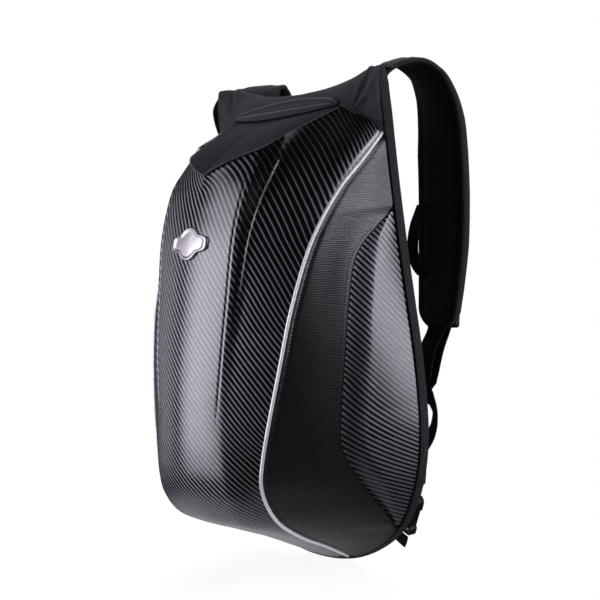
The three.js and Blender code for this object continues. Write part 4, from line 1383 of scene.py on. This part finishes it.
class BACKPACK_OT_back(bpy.types.Operator):
    """Makes the padded back panel and the tape round its edge"""

    bl_idname = "backpack.back"
    bl_label = "Back pad and tape"

    def execute(self, context):
        settings = context.scene.backpack_harness
        mesh = pad_plan().mesh("back_pad", [mesh_finish()], 60)
        piece = show("back_pad", mesh)
        points = np.array([vertex.co for vertex in mesh.vertices])
        loop = OUTLINE_CURVE.along(np.linspace(0, 1, 300)) * MM
        angles = np.arctan2(np.abs(points[:, 0]), -points[:, 2])
        order = np.arctan2(loop[:, 0], -loop[:, 2])
        reach = np.interp(angles, order, np.hypot(loop[:, 0], loop[:, 2]))
        out = np.hypot(points[:, 0], points[:, 2]) / reach
        held = np.flatnonzero((out > 0.865) | (points[:, 1] < -0.004)).tolist()
        filled(piece, held, settings.pressure, settings.swell)
        fit(piece, "back_mesh", "back_panel")
        steps = np.linspace(0, 1, 160)
        edge = OUTLINE_CURVE.along(steps)
        seam = edge * (PAD_SEAM, 1, PAD_SEAM) + (0, -0.5, 0)
        stitched("back_pad_stitches", both_sides([seam]), "back_mesh")
        ends = np.minimum(1, (0.5 - np.abs(np.linspace(-0.5, 0.5, 421))) / 0.014)[:, None, None]
        section = strip_section(TAPE_WIDTH, TAPE_THICKNESS, TAPE_CROWN) * (0.45 + 0.55 * ends)
        tape = swept_mesh("edge_tape", tape_curve(), 420, (0, 1, 0), section, tape_finish())
        fit(show("edge_tape", tape), "binding_tape", "edge_binding")
        return {"FINISHED"}


def strap_section(width, thick, trim):
    """Half-round edges, a sewn groove beside the trim and a full middle."""
    depths = np.array([0, 0.35, 1, 2, 3.2, 4.6, 6, 7.2, 7.9, 8.5, 9, 9.5, 10.2, 11.2, 13, 16, 20, 25])
    half = width / 2
    depths = np.concatenate([depths * min(1, half / 27), [half]])
    across = np.concatenate([depths - half, half - depths[-2::-1]])
    near = np.concatenate([depths, depths[-2::-1]])
    edge = 0.66 * np.sqrt(np.maximum(0, 1 - (1 - np.minimum(near, 3.6) / 3.6) ** 2))
    full = 0.40 * ease(near, trim - 0.5, trim + 13) - 0.16 * hump(near, trim, 0.8)
    high = thick / 2 * (edge + full)
    lower = np.stack([across, -high], axis=1)
    upper = np.stack([across, high], axis=1)[-2:0:-1]
    return np.concatenate([lower, upper]), near


def strap_plan(stations, trim):
    curve = Curve(place([at for at, *_ in stations]))
    steps = 150
    along = np.linspace(0, 1, steps + 1)
    stops = curve.stop_at(along) * (len(stations) - 1)
    table = np.array([[width, thick, *side] for _, width, thick, side in stations])
    width, thick, *side = (np.interp(stops, np.arange(len(stations)), table[:, k]) for k in range(5))
    left = (1 - along) * curve.length
    rounding = np.clip(1 - left / STRAP_END_ROUNDING, 0, 1)
    width = width * np.sqrt(1 - 0.75 * rounding**2)
    thick = thick * (1 - 0.3 * rounding**2)
    sections = []
    for k in range(steps + 1):
        section, near = strap_section(width[k], thick[k], trim)
        count = len(near)
        bend = within(along[k], 0.06, 0.2, 0.34, 0.5)
        wave = np.sin(along[k] * curve.length / 1.9 + section[:, 0] / 17) * 0.55 * bend
        inside = np.concatenate([ease(near, trim, trim + 6), ease(near[-2:0:-1], trim, trim + 6)])
        section[:, 1] += wave * inside
        sections.append(section)
    finish = np.zeros(len(sections[0]), int)
    middle = (near[:-1] + near[1:]) / 2
    finish[: count - 1] = middle > trim
    finish[count - 1 :] = finish[: count - 1][::-1]
    rows = frames(curve, along, np.stack(side, axis=1))
    plan = MeshPlan()
    points = plan.sweep(rows, np.array(sections), finish=finish[None, :])
    return plan, points, rows, count


class BACKPACK_OT_straps(bpy.types.Operator):
    """Makes the padded shoulder straps with their trim and seams"""

    bl_idname = "backpack.straps"
    bl_label = "Shoulder straps"

    def execute(self, context):
        trim = context.scene.backpack_harness.trim / MM
        left = [
            (LEFT_ARCH[k - 2] if 2 <= k < 2 + len(LEFT_ARCH) else at, width, thick, side)
            for k, (at, width, thick, side) in enumerate(STRAP_STATIONS)
        ]
        lines = []
        for side, stations, flip in (("right", STRAP_STATIONS, 1), ("left", left, -1)):
            plan, points, rows, count = strap_plan(stations, trim)
            mesh = plan.mesh(f"shoulder_strap_{side}", [strap_trim(), mesh_finish()])
            if flip < 0:
                mesh = copied_to_left(mesh, "shoulder_strap_left")
            piece = fit(show(f"shoulder_strap_{side}_pad", mesh), "back_mesh", f"shoulder_strap_{side}")
            for column in (10, count - 11, count + 9, points.shape[1] - 10):
                face = rows[2] * (-1 if column < count else 1)
                lines.append((points[:, column] + face * 0.15)[4:-6] * (flip, 1, 1))
        stitched("strap_stitches", lines, "back_mesh")
        return {"FINISHED"}


def strap_trim():
    settings = bpy.context.scene.backpack_harness
    return cloth_finish("strap_trim", [1.1 * c for c in settings.mesh], 1.0, rough=0.7)


def lower_webbing():
    curve = Curve(place([at for at, _ in LOWER_WEBBING]))
    along = np.linspace(0, 1, 121)
    turns = np.radians([turn for _, turn in LOWER_WEBBING])
    turn = np.interp(curve.stop_at(along), np.linspace(0, 1, len(turns)), turns)
    hints = np.stack([np.cos(turn), -np.sin(turn), np.zeros_like(turn)], axis=1)
    plan = MeshPlan()
    section = strip_section(LOWER_WEBBING_WIDTH, LOWER_WEBBING_THICKNESS, 0.15)
    plan.sweep(frames(curve, along, hints), np.broadcast_to(section, (121, *section.shape)))
    return plan.mesh("strap_webbing", [webbing_finish()])


def tack_lines(route, width):
    """Three short rows of stitches across a webbing's end."""
    curve = Curve(place(route))
    centre, side, face = frames(curve, np.array([0.06, 0.1, 0.14]), (1, 0, 0))
    across = np.linspace(-0.42, 0.42, 12)[None, :, None] * width
    lines = centre[:, None] + side[:, None] * across
    return [line for lift in (1.25, -1.25) for line in lines + face[:, None] * lift]


class BACKPACK_OT_webbing(bpy.types.Operator):
    """Makes the webbing, its free ends, loops and tabs"""

    bl_idname = "backpack.webbing"
    bl_label = "Webbing"

    def execute(self, context):
        show_pair("strap_webbing", lower_webbing(), "webbing")
        lines = []
        for node, width, thick, route in WEBBING_ROUTES:
            section = strip_section(width, thick * 0.92, 0.15)
            mesh = swept_mesh(node, Curve(place(route)), 48, (1, 0, 0), section, webbing_finish())
            show_pair(node, mesh, "webbing")
            if node == "chest_loop":
                lines += tack_lines(route, width) + tack_lines(route[::-1], width)
            if node == "strap_tail":
                lines += tack_lines(route[::-1], width)
        stitched("webbing_tacks", both_sides(lines), "webbing", long=0.0018)
        return {"FINISHED"}


# ---------------------------------------------------------------- plastic and metal
def bevelled(name, outline, holes, through, bevel, material):
    """A flat plate with holes and rounded edges, made flat in x and y."""
    flat = bpy.data.curves.new(name, "CURVE")
    flat.dimensions = "2D"
    flat.fill_mode = "BOTH"
    flat.extrude = (through / 2 - bevel) * MM
    flat.bevel_depth = bevel * MM
    flat.bevel_resolution = 3
    flat.offset = -bevel * MM
    for ring in (outline, *holes):
        spline = flat.splines.new("POLY")
        spline.points.add(len(ring) - 1)
        for point, (x, y) in zip(spline.points, ring):
            point.co = (x * MM, y * MM, 0, 1)
        spline.use_cyclic_u = True
    carrier = show(f"{name}_outline", flat)
    mesh = bpy.data.meshes.new_from_object(carrier.evaluated_get(bpy.context.evaluated_depsgraph_get()))
    bpy.data.objects.remove(carrier)
    bpy.data.curves.remove(flat)
    mesh.name = name
    mesh.materials.clear()
    mesh.materials.append(material)
    work = bmesh.new()
    work.from_mesh(mesh)
    places = work.loops.layers.uv.verify()
    for face in work.faces:
        for loop in face.loops:
            loop[places].uv = (loop.vert.co.x / MM, loop.vert.co.y / MM)
    work.to_mesh(mesh)
    work.free()
    return outward(mesh, 35)


def rounded_box(width, tall, radius, steps=5):
    """Outline of a rectangle with rounded corners."""
    ring = []
    for k, (sx, sy) in enumerate(((1, 1), (-1, 1), (-1, -1), (1, -1))):
        for angle in np.linspace(k * np.pi / 2, (k + 1) * np.pi / 2, steps):
            x, y = radius * math.cos(angle), radius * math.sin(angle)
            ring.append((sx * (width / 2 - radius) + x, sy * (tall / 2 - radius) + y))
    return ring


def joined(name, meshes):
    """Several meshes as one."""
    work = bmesh.new()
    for mesh in meshes:
        work.from_mesh(mesh)
    made = bpy.data.meshes.new(name)
    work.to_mesh(made)
    work.free()
    made.materials.append(meshes[0].materials[0])
    return outward(made, 35)


def moved_to(mesh, at, turn):
    mesh.transform(Matrix.Translation(Vector(place(at)) * MM) @ turn)
    return mesh


def adjuster_mesh():
    sizes = ADJUSTER
    gap = (sizes["along"] - 3 * sizes["bar"]) / 2
    holes = []
    for level in (-1, 1):
        ring = rounded_box(sizes["slot"], gap, 0.8, 4)
        holes.append([(x, y + level * (gap + sizes["bar"]) / 2) for x, y in ring])
    outline = rounded_box(sizes["across"], sizes["along"], 3.5)
    plate = bevelled("strap_adjuster", outline, holes, sizes["through"], 0.9, plastic_finish())
    ribs = [np.array([(-11.0, 6.6, z), (11.0, 6.6, z)]) for z in (-2.8, 2.8)]
    grip = grown("adjuster_grip", ribs, rib_tree(), {
        "Pitch": 0.0028, "Length": 0.0014, "Radius": 0.0009, "Finish": plastic_finish(),
    })
    mesh = joined("strap_adjuster", [plate, grip])
    return moved_to(mesh, sizes["at"], Matrix.Rotation(math.pi / 2 + sizes["lean"], 4, "X"))


def buckle_mesh():
    sizes = BUCKLE
    half, tall, notch = sizes["across"] / 2, sizes["along"] / 2, 2
    right = [
        (half - 1.5, -tall), (half, -tall + 1.5), (half, -tall + 8), (half - notch, -tall + 10),
        (half - notch, tall - 16), (half, tall - 14), (half, tall - 6), (half - 2, tall - 2), (half - 5, tall),
    ]
    outline = right + [(-x, y) for x, y in right[::-1]]
    slot = [(x, y - tall + 5.5) for x, y in rounded_box(15, 3.6, 1.2, 4)]
    plate = bevelled("waist_buckle", outline, [slot], sizes["through"], 1.4, plastic_finish())
    window = bevelled("buckle_tongue", rounded_box(9, 15, 2), [], sizes["through"] + 1.6, 0.8, plastic_finish())
    window.transform(Matrix.Translation((0, 0.001, 0)))
    lines = [np.array([(0.0, y0, z), (0.0, y1, z)]) for z in (-5.1, 5.1) for y0, y1 in ((-14, -9), (11, 19))]
    ribs = grown("buckle_ribs", lines, rib_tree(), {
        "Pitch": 0.0026, "Length": 0.015, "Radius": 0.0008, "Finish": plastic_finish(),
    })
    knob = bevelled("buckle_knob", rounded_box(7, 6, 2.2), [], 8, 1.2, plastic_finish())
    knob.transform(Matrix.Translation((0, (tall + 2.6) * MM, 0)))
    mesh = joined("waist_buckle", [plate, window, ribs, knob])
    turn = Matrix.Rotation(sizes["lean"], 4, "Y") @ Matrix.Rotation(math.pi / 2, 4, "X")
    return moved_to(mesh, sizes["at"], turn)


class BACKPACK_OT_buckles(bpy.types.Operator):
    """Makes the slide buckles of the straps and the waist buckles"""

    bl_idname = "backpack.buckles"
    bl_label = "Buckles"

    def execute(self, context):
        show_pair("strap_adjuster", adjuster_mesh(), "black_plastic")
        show_pair("waist_buckle", buckle_mesh(), "black_plastic")
        return {"FINISHED"}


class BACKPACK_OT_badge(bpy.types.Operator):
    """Makes the plain metal plate on the hood, with a raised rim"""

    bl_idname = "backpack.badge"
    bl_label = "Badge"

    def execute(self, context):
        stops = np.linspace(0, 1, 800)
        crown_heights = RIBS["crown"].at(stops)[:, 2]
        rings, lift = np.array(BADGE_RINGS).T
        angle = np.linspace(0, 2 * np.pi, 120, endpoint=False)
        half, tall = BADGE["width"] / 2, BADGE["tall"] / 2
        bar = (np.abs(np.cos(angle) / half) ** 4 + np.abs(np.sin(angle) / (0.5 * tall)) ** 4) ** -0.25
        reach = (bar**9 + tall**9) ** (1 / 9) * 0.995
        x, up = rings[:, None] * reach * np.cos(angle), rings[:, None] * reach * np.sin(angle)
        along = np.interp(up + BADGE["height"] + TO_FRAME[2], crown_heights, stops)
        crease_x = RIBS["crease"].at(along.ravel())[:, 0].reshape(along.shape)
        part = np.abs(x) / crease_x
        crown, crease = (RIBS[name].at(along.ravel()).reshape(*along.shape, 3) for name in ("crown", "crease"))
        bend = np.stack([part, part**HOOD_BEND, part], axis=2)
        grid = crown + (crease - crown) * bend
        grid[..., 0] *= np.sign(x)
        grid = grid + np.array(BADGE_OUT) * (lift[:, None, None] + 0.1)
        under = grid[-1] - np.array(BADGE_OUT) * 0.15
        points = np.concatenate([grid, under[None]])[::-1]
        plan = MeshPlan()
        spots = np.stack([x, up], axis=2)
        spots = np.concatenate([spots, spots[-1:]])[::-1]
        numbers = plan.grid(points, ringed(spots), closed=True)
        for ring in (numbers[0], numbers[-1]):
            plan.fan(ring, 0.0)
        fit(show("badge_plate", plan.mesh("badge_plate", [badge_finish()], 60)), "badge_metal", "badge")
        return {"FINISHED"}


# ---------------------------------------------------------------- stage
def outlook(azimuth, elevation):
    """Direction from the bag to what stands at an azimuth and elevation in radians."""
    level = math.cos(elevation)
    return Vector((math.sin(azimuth) * level, -math.cos(azimuth) * level, math.sin(elevation)))


def panel_light(name, azimuth, elevation, distance, size, radiance):
    """A rectangular light that faces the bag, as bright as radiance in its middle and fading to its rim."""
    back = outlook(math.radians(azimuth), math.radians(elevation))
    data = bpy.data.lights.new(name, "AREA")
    data.shape = "RECTANGLE"
    data.size, data.size_y = size
    data.energy = radiance * math.pi * size[0] * size[1]
    data.color = LIGHT_COLOUR
    data.use_nodes = True
    tree = data.node_tree
    where = add_node(tree, "ShaderNodeNewGeometry").outputs["Parametric"]
    across = add_node(tree, "ShaderNodeSeparateXYZ", {0: where}).outputs
    fades = []
    for axis in "XY":
        rim = calc(tree, "MINIMUM", across[axis], calc(tree, "SUBTRACT", 1.0, across[axis]))
        fades.append(add_node(
            tree, "ShaderNodeMapRange", {"Value": rim, "From Min": 0.0, "From Max": 0.4},
            interpolation_type="SMOOTHSTEP",
        ).outputs["Result"])
    tree.links.new(calc(tree, "MULTIPLY", *fades), tree.nodes["Emission"].inputs["Strength"])
    lamp = bpy.data.objects.new(name, data)
    lamp.location = LIGHT_AIM + back * distance
    lamp.rotation_euler = back.to_track_quat("Z", "Y").to_euler()
    lamp.visible_camera = False
    bpy.context.scene.collection.objects.link(lamp)


def floor_finish(base):
    """Pale floor that fades out towards its rim."""
    made = Finish("pale_floor", Roughness=0.7, Specular_IOR_Level=0.1, Emission_Strength=0.85)
    seen = add_node(made.tree, "ShaderNodeLightPath").outputs["Is Camera Ray"]
    made.feed(Emission_Color=made.blend((0.36, 0.36, 0.39), (1, 1, 1), seen))
    where = add_node(made.tree, "ShaderNodeTexCoord").outputs["Object"]
    far = add_node(
        made.tree, "ShaderNodeVectorMath", {0: where, 1: (-0.03, -0.14, 0)}, operation="DISTANCE"
    ).outputs["Value"]
    fade = add_node(
        made.tree, "ShaderNodeMapRange",
        {"Value": far, "From Min": 0.05, "From Max": 0.29, "To Min": 1.0, "To Max": 0.0},
        interpolation_type="SMOOTHSTEP",
    ).outputs["Result"]
    made.feed(Base_Color=made.varied(base, 0.98, 1.02, made.broad), Alpha=fade)
    return made.material


class BACKPACK_OT_stage(bpy.types.Operator):
    """Makes the floor, the lights and the camera"""

    bl_idname = "backpack.stage"
    bl_label = "Stage"

    def execute(self, context):
        settings = context.scene.backpack_stage
        scene = context.scene
        angle = np.linspace(0, 2 * np.pi, 96, endpoint=False)
        rings = np.array([60, 200, 400, 700, 1000])[:, None, None]
        disc = rings * np.stack([np.cos(angle), np.sin(angle), 0 * angle], axis=1)
        plan = MeshPlan()
        numbers = plan.grid(disc, np.zeros((5, 97, 2)), closed=True)
        plan.add_faces([numbers[0]], np.zeros((1, 96, 2)))
        floor = show("floor", plan.mesh("floor", [floor_finish(settings.floor)]))
        floor.location.z = CAD_BOX[0][2] - 0.002

        world = bpy.data.worlds.new("room")
        world.use_nodes = True
        tree = world.node_tree
        tree.nodes.clear()
        seen = add_node(tree, "ShaderNodeBackground", {"Color": (1, 1, 1, 1), "Strength": 1.0}).outputs[0]
        room = add_node(
            tree, "ShaderNodeBackground", {"Color": (0.93, 0.93, 1, 1), "Strength": settings.dim}
        ).outputs[0]
        path = add_node(tree, "ShaderNodeLightPath").outputs["Is Camera Ray"]
        mix = add_node(tree, "ShaderNodeMixShader", {0: path, 1: room, 2: seen})
        add_node(tree, "ShaderNodeOutputWorld", {"Surface": mix.outputs[0]})
        scene.world = world
        scene.view_settings.view_transform = "Standard"

        for light in LIGHTS:
            panel_light(*light)

        a, r = settings.azimuth, settings.roll
        back = outlook(a, settings.elevation)
        right = Vector((math.cos(a), math.sin(a), 0))
        up = back.cross(right)
        turn = Matrix((
            right * math.cos(r) - up * math.sin(r), right * math.sin(r) + up * math.cos(r), back
        )).transposed().to_4x4()
        data = bpy.data.cameras.new("camera")
        data.lens, data.sensor_width = settings.lens, 36
        camera = bpy.data.objects.new("camera", data)
        camera.matrix_world = Matrix.Translation(CAMERA_TARGET + back * settings.distance) @ turn
        scene.collection.objects.link(camera)
        scene.camera = camera
        return {"FINISHED"}


class BACKPACK_PT_panel(bpy.types.Panel):
    """Lists the steps that build the bag"""

    bl_label = "Motorcycle Backpack"
    bl_idname = "BACKPACK_PT_panel"
    bl_space_type = "VIEW_3D"
    bl_region_type = "UI"
    bl_category = "Backpack"

    def draw(self, context):
        for operator in OPERATORS:
            self.layout.operator(operator.bl_idname)
        for name, _ in SETTINGS:
            box = self.layout.box()
            group = getattr(context.scene, name)
            for key in group.bl_rna.properties.keys():
                if key not in ("rna_type", "name"):
                    box.prop(group, key)


SETTINGS = (
    ("backpack_shell", BackpackShellSettings),
    ("backpack_cloth", BackpackClothSettings),
    ("backpack_harness", BackpackHarnessSettings),
    ("backpack_stitches", BackpackStitchSettings),
    ("backpack_stage", BackpackStageSettings),
)
OPERATORS = (
    BACKPACK_OT_stage,
    BACKPACK_OT_shell,
    BACKPACK_OT_inserts,
    BACKPACK_OT_side_cloth,
    BACKPACK_OT_piping,
    BACKPACK_OT_top,
    BACKPACK_OT_back,
    BACKPACK_OT_straps,
    BACKPACK_OT_webbing,
    BACKPACK_OT_buckles,
    BACKPACK_OT_badge,
)


def register():
    for name, group in SETTINGS:
        bpy.utils.register_class(group)
        setattr(bpy.types.Scene, name, bpy.props.PointerProperty(type=group))
    for item in (*OPERATORS, BACKPACK_PT_panel):
        bpy.utils.register_class(item)


def unregister():
    for item in (BACKPACK_PT_panel, *reversed(OPERATORS)):
        bpy.utils.unregister_class(item)
    for name, group in reversed(SETTINGS):
        delattr(bpy.types.Scene, name)
        bpy.utils.unregister_class(group)


def main():
    register()
    for operator in OPERATORS:
        getattr(bpy.ops.backpack, operator.bl_idname.split(".")[1])()


if __name__ == "__main__":
    main()
